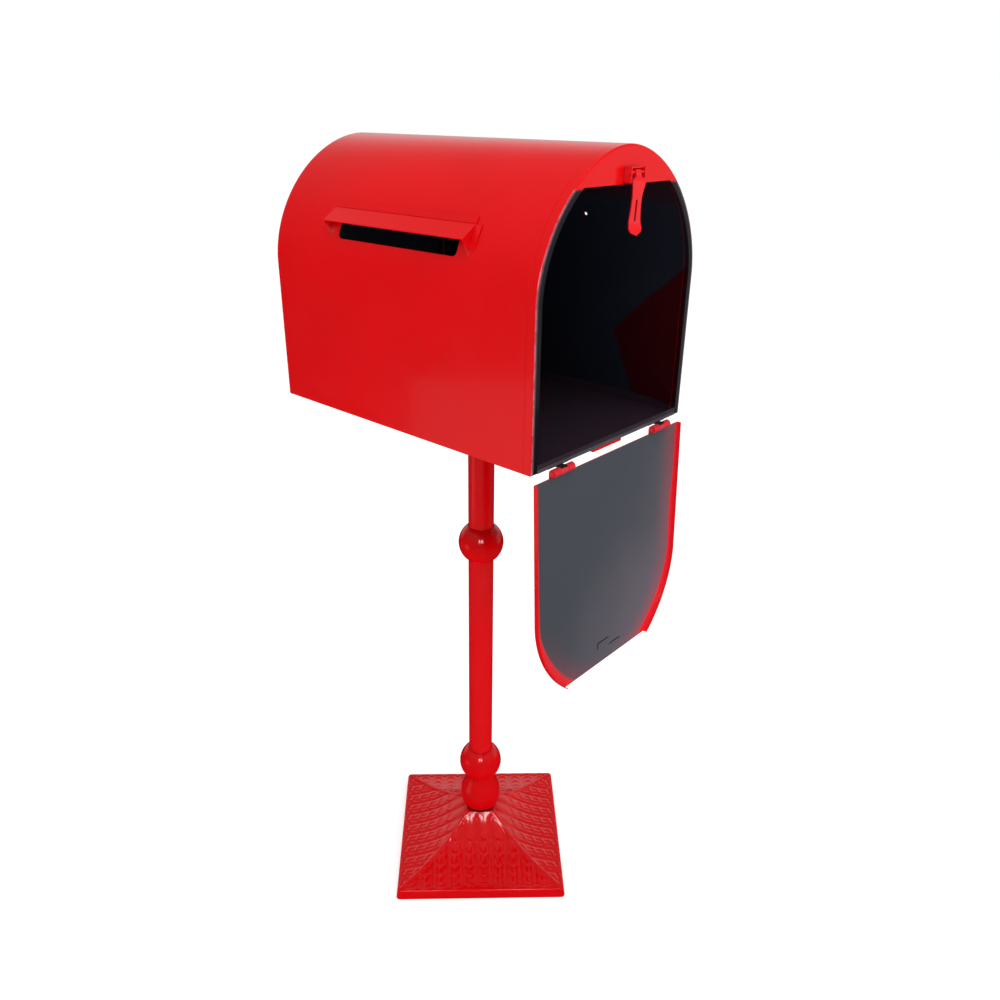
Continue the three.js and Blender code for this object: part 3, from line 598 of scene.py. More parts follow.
def carved(thing: Object, operation: str, *tools: Object) -> Object:
    """Cuts an object with others, which are used up.

    Args:
        thing: What is cut.
        operation: DIFFERENCE, INTERSECT or UNION.
        tools: The cutting solids.

    Returns:
        The same object.
    """
    for tool in tools:
        modifier = thing.modifiers.new("cut", "BOOLEAN")
        modifier.operation = operation
        modifier.solver = "EXACT"
        modifier.object = tool
        applied(thing)
        bpy.data.objects.remove(tool)
    return thing


def block(low: Sequence[float], high: Sequence[float]) -> Object:
    """A plain block for cutting, between two corners."""
    bm = bmesh.new()
    bmesh.ops.create_cube(bm, size=1.0)
    centre = [(a + b) / 2 for a, b in zip(low, high)]
    span = [b - a for a, b in zip(low, high)]
    bmesh.ops.scale(bm, vec=span, verts=bm.verts)
    bmesh.ops.translate(bm, vec=centre, verts=bm.verts)
    return new_object("tool", bm)


def prism(outline: Sequence[Point], y0: float, y1: float) -> BMesh:
    """A closed prism along Y over an outline in X and Z.

    Args:
        outline: The corners, in metres.
        y0: Where it starts.
        y1: Where it ends.

    Returns:
        Its bmesh, in which the first face is the one at y0.
    """
    bm = bmesh.new()
    base = bm.faces.new([bm.verts.new((x, y0, z)) for x, z in outline])
    grown = bmesh.ops.extrude_face_region(bm, geom=[base])["geom"]
    moved = [g for g in grown if isinstance(g, BMVert)]
    bmesh.ops.translate(bm, vec=(0, y1 - y0, 0), verts=moved)
    bmesh.ops.recalc_face_normals(bm, faces=bm.faces)
    bm.faces.ensure_lookup_table()
    return bm


def end_face(bm: BMesh, y: float) -> BMFace:
    """A prism's end face at that y."""
    return max((f for f in bm.faces if abs(f.calc_center_median().y - y) < 1e-5), key=lambda f: f.calc_area())


def pan(outline: Sequence[Point], open_y: float, rim_y: float, bend: float, steps: int) -> BMesh:
    """A skin over an outline, open at one end and closed with a rounded rim at the other.

    Args:
        outline: The corners in X and Z, in metres.
        open_y: Where it is open.
        rim_y: Where it is closed.
        bend: Radius of the rim.
        steps: Facets across the rim.

    Returns:
        Its bmesh, facing out.
    """
    bm = prism(outline, *sorted((open_y, rim_y)))
    bmesh.ops.delete(bm, geom=[end_face(bm, open_y)], context="FACES_ONLY")
    round_edges(bm, list(end_face(bm, rim_y).edges), bend, steps)
    return bm


def round_edges(bm: BMesh, edges: list[BMEdge], radius: float, steps: int) -> None:
    """Rounds edges with a radius in a number of facets."""
    bmesh.ops.bevel(
        bm, geom=edges, offset=radius, segments=steps, profile=0.5, affect="EDGES", material=-1
    )


def everything(bm: BMesh) -> list[BMVert | BMEdge | BMFace]:
    """All that a mesh has."""
    return bm.verts[:] + bm.edges[:] + bm.faces[:]


def refined(node: str) -> BMesh:
    """A CAD node's mesh with its triangles merged and its flat facets joined."""
    bm = bmesh.new()
    bm.from_mesh(frame["nodes"][node].data)
    bmesh.ops.remove_doubles(bm, verts=bm.verts, dist=2e-6)
    bmesh.ops.dissolve_limit(bm, angle_limit=math.radians(0.6), verts=bm.verts, edges=bm.edges)
    return bm


def turned(profile: Sequence[Point], steps: int = 96) -> BMesh:
    """A closed profile turned around the Z axis.

    Args:
        profile: Radius and height of its corners, in order, in metres.
        steps: Facets round the axis.

    Returns:
        Its bmesh.
    """
    bm = bmesh.new()
    verts = [bm.verts.new((radius, 0, height)) for radius, height in profile]
    edges = [bm.edges.new(pair) for pair in zip(verts, verts[1:] + verts[:1])]
    bmesh.ops.spin(
        bm, geom=verts + edges, cent=(0, 0, 0), axis=(0, 0, 1), angle=2 * math.pi, steps=steps, use_merge=True
    )
    bmesh.ops.remove_doubles(bm, verts=bm.verts, dist=1e-6)
    bmesh.ops.recalc_face_normals(bm, faces=bm.faces)
    return bm


def arc(radius: float, centre: float, low: float, high: float, steps: int) -> list[Point]:
    """Points of a ball's outline between two heights, seen from its middle."""
    start, end = math.asin(low / radius), math.asin(high / radius)
    turns = [start + (end - start) * i / steps for i in range(steps + 1)]
    return [(radius * math.cos(t), centre + radius * math.sin(t)) for t in turns]


@dataclass
class Piece:
    """A visible piece and how it is finished.

    Attributes:
        name: Its name.
        body: The body that it rides on.
        slot: The record's slot for it; not used.
        nodes: The CAD nodes that it stands for.
        edge: Width of its softened edges, in metres; 0 leaves them.
        sharp: Angle above which an edge stays sharp, in degrees.
    """

    name: str
    body: Body
    slot: Slot
    nodes: Sequence[str]
    edge: float = 0.0004
    sharp: float = 32.0

    def done(self, thing: Object) -> Object:
        """Names, dresses and places a finished shape.

        Args:
            thing: The object that holds the shape.

        Returns:
            The same object.
        """
        thing.name = self.name
        thing.data.name = self.name
        thing.data.shade_smooth()
        thing.data.set_sharp_from_angle(angle=math.radians(self.sharp))
        if self.edge:
            bevel = thing.modifiers.new("soft_edges", "BEVEL")
            bevel.width = self.edge
            bevel.segments = 2
            bevel.limit_method = "ANGLE"
            bevel.angle_limit = math.radians(self.sharp)
            bevel.use_clamp_overlap = True
        weigh = thing.modifiers.new("flat_faces", "WEIGHTED_NORMAL")
        weigh.keep_sharp = True
        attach(thing, self.body.value)
        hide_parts(*self.nodes)
        LOG.info("%s: %d faces on %s", self.name, len(thing.data.polygons), self.body.value)
        return thing

    def softened(self, material: Material) -> Object:
        """Dresses a copy of its CAD node, with softened edges."""
        return self.done(new_object(self.name, refined(self.nodes[0]), (material,)))


# ------------------------------------------------------------------- the arch


@dataclass(frozen=True)
class Arch:
    """The box's section: straight walls under a slightly pointed arch.

    Attributes:
        half: Half its width, in metres.
        wall: Height of the straight walls, in metres.
        height: Height of the crown, in metres.
        power: Power of the arch; 2 is an ellipse.
        steps: Facets round the arch.
    """

    half: float
    wall: float
    height: float
    power: float = 1.85
    steps: int = 128

    def outline(self, inset: float, bottom: float) -> list[Point]:
        """The closed outline over its own base line.

        Args:
            inset: How far it is moved in, in metres.
            bottom: The height it goes down to, in metres.

        Returns:
            Its corners, in X and Z.
        """
        half, rise = self.half - inset, self.height - self.wall - inset
        points = [(-half, bottom), (half, bottom)]
        for i in range(self.steps + 1):
            turn = math.pi * i / self.steps
            across = abs(math.cos(turn)) ** (2 / self.power)
            up = math.sin(turn) ** (2 / self.power)
            points.append((math.copysign(half * across, math.cos(turn)), self.wall + rise * up))
        return points


@dataclass
class MailBox:
    """The arched box: front frame, wrap, floor, rear panel, hood and sill tab.

    Heights are over the box's bottom, and lengths are in metres.

    Attributes:
        red: Enamel of the outside.
        lip: Width of the front lip.
        bend: Radius of the front edge.
        rear_bend: Radius of the rear edge.
        rear_lip: Width of the rear flange, from the side.
        rear_pan_bend: Radius of the rear panel's edge.
        sheet: Thickness of the sheet.
        gap: Clearance between pieces.
        wall: Height of the straight walls.
        panel_edge: Height of the arch panel's lower edge.
        panel_lip: How far back that edge is bent.
        slot_low: Height of the slot's lower edge.
        slot_high: Height of the slot's upper edge.
        slot_forward: How far ahead of the box's middle the slot is centred.
        slot_length: Length of the slot.
        slot_corner: Radius of the slot's corners.
        sill: Height of the charcoal part of the sill.
        hole: Diameter of the hole in the right shoulder.
        hole_height: Height of that hole.
        hole_forward: How far ahead of the box's middle it is.
        clear: How far a cutting solid stands past what it cuts.
        inside: Paint of the inner faces.
    """

    red: Material
    lip: float = 12 * MM
    bend: float = 2.4 * MM
    rear_bend: float = 6.5 * MM
    rear_lip: float = 20 * MM
    rear_pan_bend: float = 2.5 * MM
    sheet: float = 1.5 * MM
    gap: float = 0.3 * MM
    wall: float = 215 * MM
    panel_edge: float = 348.5 * MM
    panel_lip: float = 6 * MM
    slot_low: float = 261 * MM
    slot_high: float = 291 * MM
    slot_forward: float = 3 * MM
    slot_length: float = 238 * MM
    slot_corner: float = 7 * MM
    sill: float = 5.5 * MM
    hole: float = 5 * MM
    hole_height: float = 286.5 * MM
    hole_forward: float = 78 * MM
    clear: float = 5 * MM
    inside: Material = field(init=False)

    def __post_init__(self) -> None:
        """Reads the box's places from the frame."""
        front_low, front_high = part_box("front_frame")
        wrap_low, wrap_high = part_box("box_wrap")
        self.front, self.seam = front_low.y, front_high.y
        self.rear = wrap_high.y
        self.bottom = wrap_low.z
        self.middle = (self.front + self.rear) / 2
        self.arch = Arch(wrap_high.x, self.wall, wrap_high.z - wrap_low.z)
        self.inside = InsidePaint("inside_paint").material()

    def section(self, inset: float, bottom: float) -> list[Point]:
        """The box's outline in the object's own frame."""
        return [(x, z + self.bottom) for x, z in self.arch.outline(inset, bottom)]

    def build(self) -> None:
        """Builds and dresses every piece of the box."""
        self.front_frame()
        self.wrap()
        self.rear_panel()
        self.floor()
        self.trim()

    def front_frame(self) -> None:
        """The rounded front edge with its lip and the arch panel."""
        bm = pan(self.section(0, 0), self.seam, self.front, self.bend, 7)
        places = {"base": self.bottom, "front": self.front, "panel": self.bottom + self.panel_edge}
        finish = FrameEnamel("frame_enamel", arch=self.arch, **places).material()
        shell = thicken(new_object("front_frame_shell", bm, (finish, self.inside)), self.sheet, 1)
        shell = carved(shell, "DIFFERENCE", self.mouth(), self.sill_room())
        lip = self.panel_return()
        shell = carved(shell, "UNION", lip)
        Piece("front_frame_sheet", Body.BOX, Slot.RED, ["front_frame"]).done(shell)

    def mouth(self) -> Object:
        """The opening as a solid: the arch inside the lip, up to the panel's edge."""
        near, far = self.front - self.clear, self.seam + self.clear
        tool = new_object("tool", prism(self.section(self.lip, -self.clear), near, far))
        half, top = self.arch.half, self.bottom + self.panel_edge
        past = self.clear + 1 * MM
        keep = block((-half, self.front - past, self.bottom - past), (half, self.seam + past, top))
        return carved(tool, "INTERSECT", keep)

    def sill_room(self) -> Object:
        """Room for the floor behind the lip."""
        side = self.arch.half - self.sheet - self.gap
        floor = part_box("floor_pan")[0].z + self.sheet + self.gap
        low = (-side, self.front + self.sheet, self.bottom - self.clear)
        return block(low, (side, self.seam + self.clear, floor))

    def panel_return(self) -> Object:
        """The panel's edge, bent back."""
        height = self.panel_edge + self.sheet
        half = self.half_width(height, self.lip) - 1 * MM
        low = self.bottom + self.panel_edge
        return block(
            (-half, self.front + self.sheet / 2, low), (half, self.front + self.panel_lip, low + self.sheet)
        )

    def half_width(self, height: float, inset: float) -> float:
        """Half the section's width at a height, moved in by inset."""
        rise = self.arch.height - self.wall - inset
        share = min(max((height - self.wall) / rise, 0.0), 1.0)
        return (self.arch.half - inset) * (1 - share**self.arch.power) ** (1 / self.arch.power)

    def wrap(self) -> None:
        """The side walls and the arch in one sheet, with the slot and the rear flange."""
        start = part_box("box_wrap")[0].y
        bm = pan(self.section(0, 0), start, self.rear, self.rear_bend, 9)
        rear = end_face(bm, self.rear)
        flange = self.rear_lip - self.rear_bend
        bmesh.ops.inset_region(bm, faces=[rear], thickness=flange, use_even_offset=True)
        bmesh.ops.delete(bm, geom=[rear], context="FACES_ONLY")
        cut = self.rear - self.rear_lip
        bmesh.ops.bisect_plane(bm, geom=everything(bm), plane_co=(0, cut, 0), plane_no=(0, 1, 0))
        under = [f for f in bm.faces if f.normal.z < -0.99 and f.calc_center_median().y < cut]
        bmesh.ops.delete(bm, geom=under, context="FACES")
        shell = thicken(new_object("wrap_shell", bm, (self.red, self.inside)), self.sheet, 1)
        shell = carved(shell, "DIFFERENCE", self.slot(), self.side_hole())
        Piece("wrap_sheet", Body.BOX, Slot.RED, ["box_wrap"]).done(shell)

    def slot(self) -> Object:
        """The letter slot as a solid through the left of the arch."""
        middle = self.middle - self.slot_forward
        tool = block(
            (-self.arch.half - self.clear, middle - self.slot_length / 2, self.bottom + self.slot_low),
            (-self.arch.half / 2, middle + self.slot_length / 2, self.bottom + self.slot_high),
        )
        bm = bmesh.new()
        bm.from_mesh(tool.data)
        along = [e for e in bm.edges if abs((e.verts[0].co - e.verts[1].co).x) > 1 * MM]
        round_edges(bm, along, self.slot_corner, 8)
        bm.to_mesh(tool.data)
        bm.free()
        return tool

    def side_hole(self) -> Object:
        """The small hole through the right shoulder as a solid."""
        bm = bmesh.new()
        radius, depth = self.hole / 2, self.arch.half / 2
        bmesh.ops.create_cone(bm, cap_ends=True, segments=32, radius1=radius, radius2=radius, depth=depth)
        bmesh.ops.rotate(bm, matrix=Matrix.Rotation(math.pi / 2, 3, "Y"), verts=bm.verts)
        place = (self.arch.half * 0.78, self.middle - self.hole_forward, self.bottom + self.hole_height)
        bmesh.ops.translate(bm, vec=place, verts=bm.verts)
        return new_object("tool", bm)

    def rear_panel(self) -> None:
        """The pan that closes the back."""
        low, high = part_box("rear_panel")
        inset = self.arch.half - high.x
        bm = pan(self.section(inset, inset), low.y, high.y, self.rear_pan_bend, 5)
        shell = thicken(new_object("rear_shell", bm, (self.red, self.inside)), self.sheet, 1)
        Piece("rear_panel_sheet", Body.BOX, Slot.RED, ["rear_panel"]).done(shell)

    def floor(self) -> None:
        """The floor tray, whose front sill is charcoal."""
        paint = InsidePaint("floor_paint", rgb(46, 34, 44), scuffs=0.6).material()
        sill = PlainMetal("sill_paint", rgb(66, 68, 72), rgb(92, 84, 88), 0.0, 0.42).material()
        bm = refined("floor_pan")
        top = self.bottom + self.sill
        bmesh.ops.bisect_plane(bm, geom=everything(bm), plane_co=(0, 0, top), plane_no=(0, 0, 1))
        tray = new_object("floor_tray", bm, (paint, sill))
        front = self.front + 1 * MM
        for polygon in tray.data.polygons:
            polygon.material_index = int(polygon.center.y < front and polygon.center.z < top)
        Piece("floor_tray", Body.BOX, Slot.INSIDE, ["floor_pan"], 0.7 * MM).done(tray)

    def trim(self) -> None:
        """The hood over the slot and the tab under the sill."""
        Piece("slot_hood_sheet", Body.BOX, Slot.RED, ["slot_hood"], 0.45 * MM).softened(self.red)
        Piece("sill_tab_strip", Body.BOX, Slot.RED, ["sill_tab"], 1 * MM).softened(self.red)


# -------------------------------------------------------------------- the door


@dataclass
class Door:
    """The door pan with its hinges and staple, hanging a little forward of plumb.

    Attributes:
        red: Enamel of its outside.
        shade: Painted shade on the walls of the slits.
        box: The box that it closes.
        inset: How much narrower it is than the box, on each side.
        depth: Depth of the pan.
        bend: Radius of its edge.
        face: Its outer face, behind the hinge axis.
        edge_drop: The hinge edge below the hinge axis.
        length: Its length from there to the far edge.
        overrun: How far its outline runs on past the hinge edge before it is cut.
        lean: How far forward of plumb it hangs, in degrees.
        slit: Width of the slits.
        slit_length: Their length.
        slit_leg: Length of the left slit's short leg.
        slit_spread: How much lower the right slit is than the left one.
        slits_down: How far down from the hinge axis the slits are.
        slits_x: Where the left slit ends.
        leaf_seam: Height over the hinge axis where the leaves turn from red to black.
    """

    red: Material
    shade: Material
    box: MailBox
    inset: float = 3 * MM
    depth: float = 7.6 * MM
    bend: float = 2.2 * MM
    face: float = 3.9 * MM
    edge_drop: float = 7 * MM
    length: float = 349 * MM
    overrun: float = 30 * MM
    lean: float = 2.5
    slit: float = 2 * MM
    slit_length: float = 29 * MM
    slit_leg: float = 10 * MM
    slit_spread: float = 14 * MM
    slits_down: float = 327 * MM
    slits_x: float = 4 * MM
    leaf_seam: float = 4.1 * MM

    def __post_init__(self) -> None:
        """Reads the hinge's place from the frame."""
        joint = next(j for j in frame["joints"] if j["name"] == "door_hinge")
        self.axis = Vector(joint["pos_m"])
        self.base = self.axis.z + self.edge_drop - self.box.bottom

    def build(self) -> None:
        """Builds and dresses the door, its hinges and its staple."""
        self.panel()
        self.hinges()

    def outline(self, extra: float) -> list[Point]:
        """The hanging door's outline from the hinge axis, run on past its hinge edge by extra."""
        arch = self.box.arch
        flipped = arch.outline(self.inset, self.base - extra)
        return [(x, self.base - self.edge_drop - z) for x, z in flipped]

    def panel(self) -> None:
        """The pan, cut straight at its hinge edge and at its far edge."""
        lip = self.face - self.depth
        bm = pan(self.outline(self.overrun), lip, self.face, self.bend, 5)
        bmesh.ops.recalc_face_normals(bm, faces=bm.faces)
        if end_face(bm, self.face).normal.y < 0:
            bmesh.ops.reverse_faces(bm, faces=bm.faces)
        door = thicken(new_object("door_pan", bm, (self.red, self.paint(), self.shade)), self.box.sheet, 1)
        half = self.box.arch.half
        keep = block(
            (-half, lip - 1 * MM, -self.edge_drop - self.length), (half, self.face + 1 * MM, -self.edge_drop)
        )
        door = carved(door, "INTERSECT", keep)
        door = carved(door, "DIFFERENCE", *self.slits())
        door.data.transform(Matrix.Translation(self.axis) @ Matrix.Rotation(-math.radians(self.lean), 4, "X"))
        Piece("door_pan", Body.DOOR, Slot.DOOR, ["door_panel"], 0.35 * MM).done(door)

    def paint(self) -> Material:
        """The paint of its inner face, which follows its outline."""
        arch = self.box.arch
        drop = self.base - self.edge_drop
        outline = Arch(arch.half - self.inset, arch.wall - drop, arch.height - self.inset - drop, arch.power)
        return DoorPaint("door_paint", outline, self.axis.z).material()

    def slits(self) -> list[Object]:
        """The two blind slits by the staple, the left one with a short leg, as solids whose cut walls take
        painted shade.
        """
        back, front = self.face - 3 * MM, self.face - 0.4 * MM
        high = self.slit_spread / 2 - self.slits_down
        low = high - self.slit_spread
        left = self.slits_x - self.slit_length
        right = self.slits_x + self.slit
        spans = [
            (left, self.slits_x, high, high + self.slit),
            (left, left + self.slit, high - self.slit_leg, high + self.slit / 2),
            (right, right + self.slit_length, low, low + self.slit),
        ]
        tools = [block((x0, back, z0), (x1, front, z1)) for x0, x1, z0, z1 in spans]
        # Painted shade: the cut walls of the slits take the dark material.
        for polygon in (p for tool in tools for p in tool.data.polygons):
            polygon.material_index = 2
        return tools

    def hinges(self) -> None:
        """Both hinges' leaves and the staple, with softened edges."""
        leaf = HingePaint("hinge_paint", self.axis.z + self.leaf_seam).material()
        knuckle = Enamel("hinge_enamel", rgb(214, 30, 42), rgb(176, 6, 18), 0.3, 0.0, 0.00004).material()
        for side in ("left", "right"):
            fixed, moving = f"hinge_body_leaf_{side}", f"hinge_door_leaf_{side}"
            Piece(f"{fixed}_plate", Body.BOX, Slot.BLACK, [fixed]).softened(leaf)
            Piece(f"{moving}_plate", Body.DOOR, Slot.RED, [moving]).softened(knuckle)
        Piece("door_staple_fin", Body.DOOR, Slot.RED, ["door_staple"]).softened(self.red)


@dataclass
class Hasp:
    """The hanging tongue and the bracket that holds it.

    Attributes:
        red: Their enamel.
    """

    red: Material

    def build(self) -> None:
        """Builds and dresses the tongue and its bracket."""
        Piece("hasp_bracket_plate", Body.BOX, Slot.RED, ["hasp_bracket"]).softened(self.red)
        Piece("hasp_tongue_strap", Body.HASP, Slot.RED, ["hasp_tongue"], 0.35 * MM).softened(self.red)


# -------------------------------------------------------------------- the post


@dataclass
class Post:
    """Two tubes between two turned collars.

    Attributes:
        red: Enamel of the tubes.
        cast: Enamel of the turned castings.
        shade: Painted shade in the recess under the bell.
        wall: Thickness of a tube.
        bore: Radius of the bore for the tie rod.
        gap: Clearance of a tube in its socket.
        socket: Depth of a socket.
        neck: Radius of the neck between the lower ball and the bell.
        neck_height: Height of the neck over the casting's foot.
        bell_rim: Radius of the bell at its rim.
        bell_widest: Largest radius of the bell.
        bell_level: Where that is, as a share of the way from the rim to the neck.
        bell_slope: Power that pulls the shoulder in; 1 is a plain wave.
        bell_lift: Height of the rim over the casting's foot.
        bell_foot: Radius of the recessed foot under the rim.
        rim_height: Height of the rim's straight edge.
        steps: Facets along a ball's outline.
    """

    red: Material
    cast: Material
    shade: Material
    wall: float = 2 * MM
    bore: float = 6.5 * MM
    gap: float = 0.3 * MM
    socket: float = 12 * MM
    neck: float = 25 * MM
    neck_height: float = 76 * MM
    bell_rim: float = 34.6 * MM
    bell_widest: float = 39.2 * MM
    bell_level: float = 0.3
    bell_slope: float = 1.25
    bell_lift: float = 8 * MM
    bell_foot: float = 30.4 * MM
    rim_height: float = 2 * MM
    steps: int = 40

    def build(self) -> None:
        """Builds and dresses the post."""
        for node in ("upper_tube", "lower_tube"):
            self.tube(node)
        self.mid_collar()
        self.base_collar()

    def tube(self, node: str) -> None:
        """A tube in place of a CAD tube."""
        low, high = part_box(node)
        outer = high.x
        inner = outer - self.wall
        bm = turned([(inner, low.z), (outer, low.z), (outer, high.z), (inner, high.z)])
        Piece(f"{node}_skin", Body.BOX, Slot.RED, [node]).done(new_object(node, bm, (self.red,)))

    def socket_profile(self, level: float, way: int) -> list[Point]:
        """A socket for a tube, from its mouth at a level to the bore; way is -1 down and 1 up."""
        radius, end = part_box("upper_tube")[1].x + self.gap, level + way * self.socket
        return [(radius, level), (radius, end), (self.bore, end)]

    def mid_collar(self) -> None:
        """The upper ball, with a socket at each end."""
        low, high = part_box("mid_collar")
        cut = (high.z - low.z) / 2
        profile = arc(high.x, low.z + cut, -cut, cut, self.steps)
        profile += self.socket_profile(high.z, -1) + self.socket_profile(low.z, 1)[::-1]
        ball = new_object("mid_ball", turned(profile), (self.cast,))
        Piece("mid_ball", Body.BOX, Slot.RED, ["mid_collar"]).done(ball)

    def base_collar(self) -> None:
        """The lower ball and the hollow bell below it."""
        low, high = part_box("base_collar")
        radius = high.x
        neck = low.z + self.neck_height
        centre = neck + math.sqrt(radius**2 - self.neck**2)
        rim = low.z + self.bell_lift
        edge, widest = rim + self.rim_height, rim + (neck - rim) * self.bell_level
        profile = [(self.bore, low.z), (self.bell_foot, low.z), (self.bell_foot, rim)]
        profile += [(self.bell_rim - 1.6 * MM, rim), (self.bell_rim - 0.5 * MM, rim + 0.5 * MM)]
        for share in (i / 9 for i in range(9)):
            swell = (self.bell_widest - self.bell_rim) * math.sin(math.pi / 2 * share)
            profile.append((self.bell_rim + swell, edge + (widest - edge) * share))
        for share in (i / 29 for i in range(29)):
            swell = 0.5 + 0.5 * math.cos(math.pi * share**self.bell_slope)
            out = self.neck + (self.bell_widest - self.neck) * swell
            profile.append((out, widest + (neck - widest) * share))
        profile += arc(radius, centre, neck - centre, high.z - centre, self.steps)
        profile += self.socket_profile(high.z, -1)
        collar = new_object("base_bell", turned(profile), (self.cast, self.shade))
        # Painted shade: the recessed foot under the rim takes the dark material.
        for polygon in collar.data.polygons:
            across = math.hypot(polygon.center.x, polygon.center.y)
            low_down = polygon.center.z < rim + 0.2 * MM
            polygon.material_index = int(low_down and across < self.bell_foot + 1.5 * MM)
        Piece("base_bell", Body.BOX, Slot.RED, ["base_collar"]).done(collar)


# -------------------------------------------------------------------- the foot


@dataclass
class Foot:
    """The square cast foot: a concave pyramid with reeds, rings and mitre ridges.

    Attributes:
        enamel: Its enamel.
        turn: Its turn about the post, in degrees.
        size: Its width.
        rim: Height of its plain rim.
        apex: Height of its top.
        apex_half: Half the width of its top.
        draft: How much the rim leans in.
        skirt_rise: The part of the skirt's height that rises straight.
        skirt_power: Power of the rest.
        wall: Thickness of the casting.
        pitch: Distance between two reeds.
        phase: Shift of the reeds along a side.
        reed: Height of the reeds.
        rows: Distances from the middle of the rows of rings.
        ring: Radius of a ring.
        bead: Width of a ring's bead.
        ring_height: Height of a ring.
        ridge: Height of the mitre ridges.
        ridge_width: Half width of a mitre ridge.
        corner: Radius of the foot's corners.
        across: Facets along a side.
        along: Facets from the rim to the top.
    """

    enamel: Material
    turn: float = -46.5
    size: float = 318 * MM
    rim: float = 19 * MM
    apex: float = 88 * MM
    apex_half: float = 26 * MM
    draft: float = 2 * MM
    skirt_rise: float = 22 * MM
    skirt_power: float = 2.8
    wall: float = 7 * MM
    pitch: float = 28 * MM
    phase: float = 7 * MM
    reed: float = 2.2 * MM
    rows: tuple[float, ...] = (59 * MM, 79 * MM, 99 * MM, 118 * MM, 136 * MM)
    ring: float = 8.5 * MM
    bead: float = 1.9 * MM
    ring_height: float = 1.3 * MM
    ridge: float = 2.6 * MM
    ridge_width: float = 3.2 * MM
    corner: float = 6 * MM
    across: int = 176
    along: int = 88

    def skirt(self, reach: float) -> float:
        """The plain skin's height at a distance from the middle."""
        share = (reach - self.apex_half) / (self.size / 2 - self.draft - self.apex_half)
        left = 1 - min(max(share, 0.0), 1.0)
        bowl = self.apex - self.rim - self.skirt_rise
        return self.rim + self.skirt_rise * left + bowl * left**self.skirt_power

    def spot(self, side: float, reach: float) -> tuple[float, float]:
        """Where a place on one side lies.

        Args:
            side: The place, from -1 to 1 between the mitres.
            reach: Distance of that row from the middle.

        Returns:
            How far along and how far out it is.
        """
        corner = min(self.corner, reach * 0.2)
        straight = reach - corner
        total = straight + corner * math.pi / 4
        run = abs(side) * total
        if run <= straight:
            return math.copysign(run, side), reach
        turn = (run - straight) / corner
        return math.copysign(straight + corner * math.sin(turn), side), straight + corner * math.cos(turn)

    def relief(self, x: float, reach: float) -> float:
        """The pattern's height over the skirt.

        Args:
            x: The place along the side, in metres.
            reach: Its distance from the middle, in metres.

        Returns:
            The height, in metres.
        """
        shifted = x - self.phase
        wave = abs(math.cos(math.pi * shifted / self.pitch))
        start = self.step(self.apex_half + 1 * MM, self.apex_half + 9 * MM, reach)
        border = self.size / 2 - 11 * MM + 4.5 * MM * wave
        inside = 1 - self.step(border - 1.0 * MM, border + 0.8 * MM, reach)
        crest = math.exp(-(((reach - border - 0.6 * MM) / (1.6 * MM)) ** 2)) * 0.9 * MM
        high_up = 1 - self.step(50 * MM, 110 * MM, reach)
        reeds = self.reed * (wave**0.7 - 0.7) * (0.35 + 0.65 * high_up)
        column = round(shifted / self.pitch) * self.pitch
        rings = 0.0
        for row in self.rows:
            along, over = shifted - column, reach - row
            away = math.hypot(along, over)
            lower = 0.25 + 0.75 * self.step(-3 * MM, 5 * MM, over)
            rings += lower * self.ring_height * math.exp(-(((away - self.ring) / self.bead) ** 2))
        fine = 0.3 * MM * math.cos(6 * math.pi * shifted / self.pitch) * self.step(60 * MM, 100 * MM, reach)
        mitre = reach - abs(x)
        ridge = self.ridge * math.exp(-((mitre / self.ridge_width) ** 2))
        clear = self.step(2.5 * MM, 7 * MM, mitre)
        sunk = -1.0 * MM * inside
        pattern = clear * (inside * (reeds + rings + fine) + sunk + crest)
        return start * (pattern + ridge * (0.35 + 0.65 * inside))

    @staticmethod
    def step(low: float, high: float, value: float) -> float:
        """A smooth step from 0 to 1."""
        share = min(max((value - low) / (high - low), 0.0), 1.0)
        return share * share * (3 - 2 * share)

    def rows_below(self) -> list[tuple[float, float]]:
        """Reach and height of the rows from the hollow's middle to the rim's top edge."""
        half, outer = self.size / 2, self.size / 2 - self.draft
        under = [30 * MM + (outer - 50 * MM) * i / 6 for i in range(7)]
        rows = [(reach, self.skirt(reach + 5 * MM) - self.wall - 1.5 * MM) for reach in under]
        rows += [(half - self.wall - 1 * MM, 7 * MM), (half - self.wall, 0.8 * MM)]
        rows += [(half - self.wall + 0.8 * MM, 0.0), (half - 1.2 * MM, 0.0), (half - 0.3 * MM, 0.3 * MM)]
        rows += [(half, 1.2 * MM), (half - 0.8 * MM, 7 * MM), (outer + 0.5 * MM, 13 * MM)]
        return rows + [(outer + 0.2 * MM, self.rim - 2 * MM), (outer - 0.3 * MM, self.rim - 0.7 * MM)]

    def side(self) -> BMesh:
        """One side of the foot between two mitres: the hollow, the rim and the skirt."""
        bm = bmesh.new()
        below = self.rows_below()
        rows = len(below) + self.along
        bmesh.ops.create_grid(bm, x_segments=self.across, y_segments=rows - 1, size=1.0)
        outer = self.size / 2 - self.draft - 1 * MM
        for vertex in bm.verts:
            row = round((vertex.co.y + 1) / 2 * (rows - 1))
            if row < len(below):
                reach, height = below[row]
                x, y = self.spot(vertex.co.x, reach)
            else:
                share = (row - len(below)) / (self.along - 1)
                reach = outer + (self.apex_half - outer) * share
                x, y = self.spot(vertex.co.x, reach)
                height = self.skirt(reach) + self.relief(x, reach)
            vertex.co = (x, -y, height)
        return bm

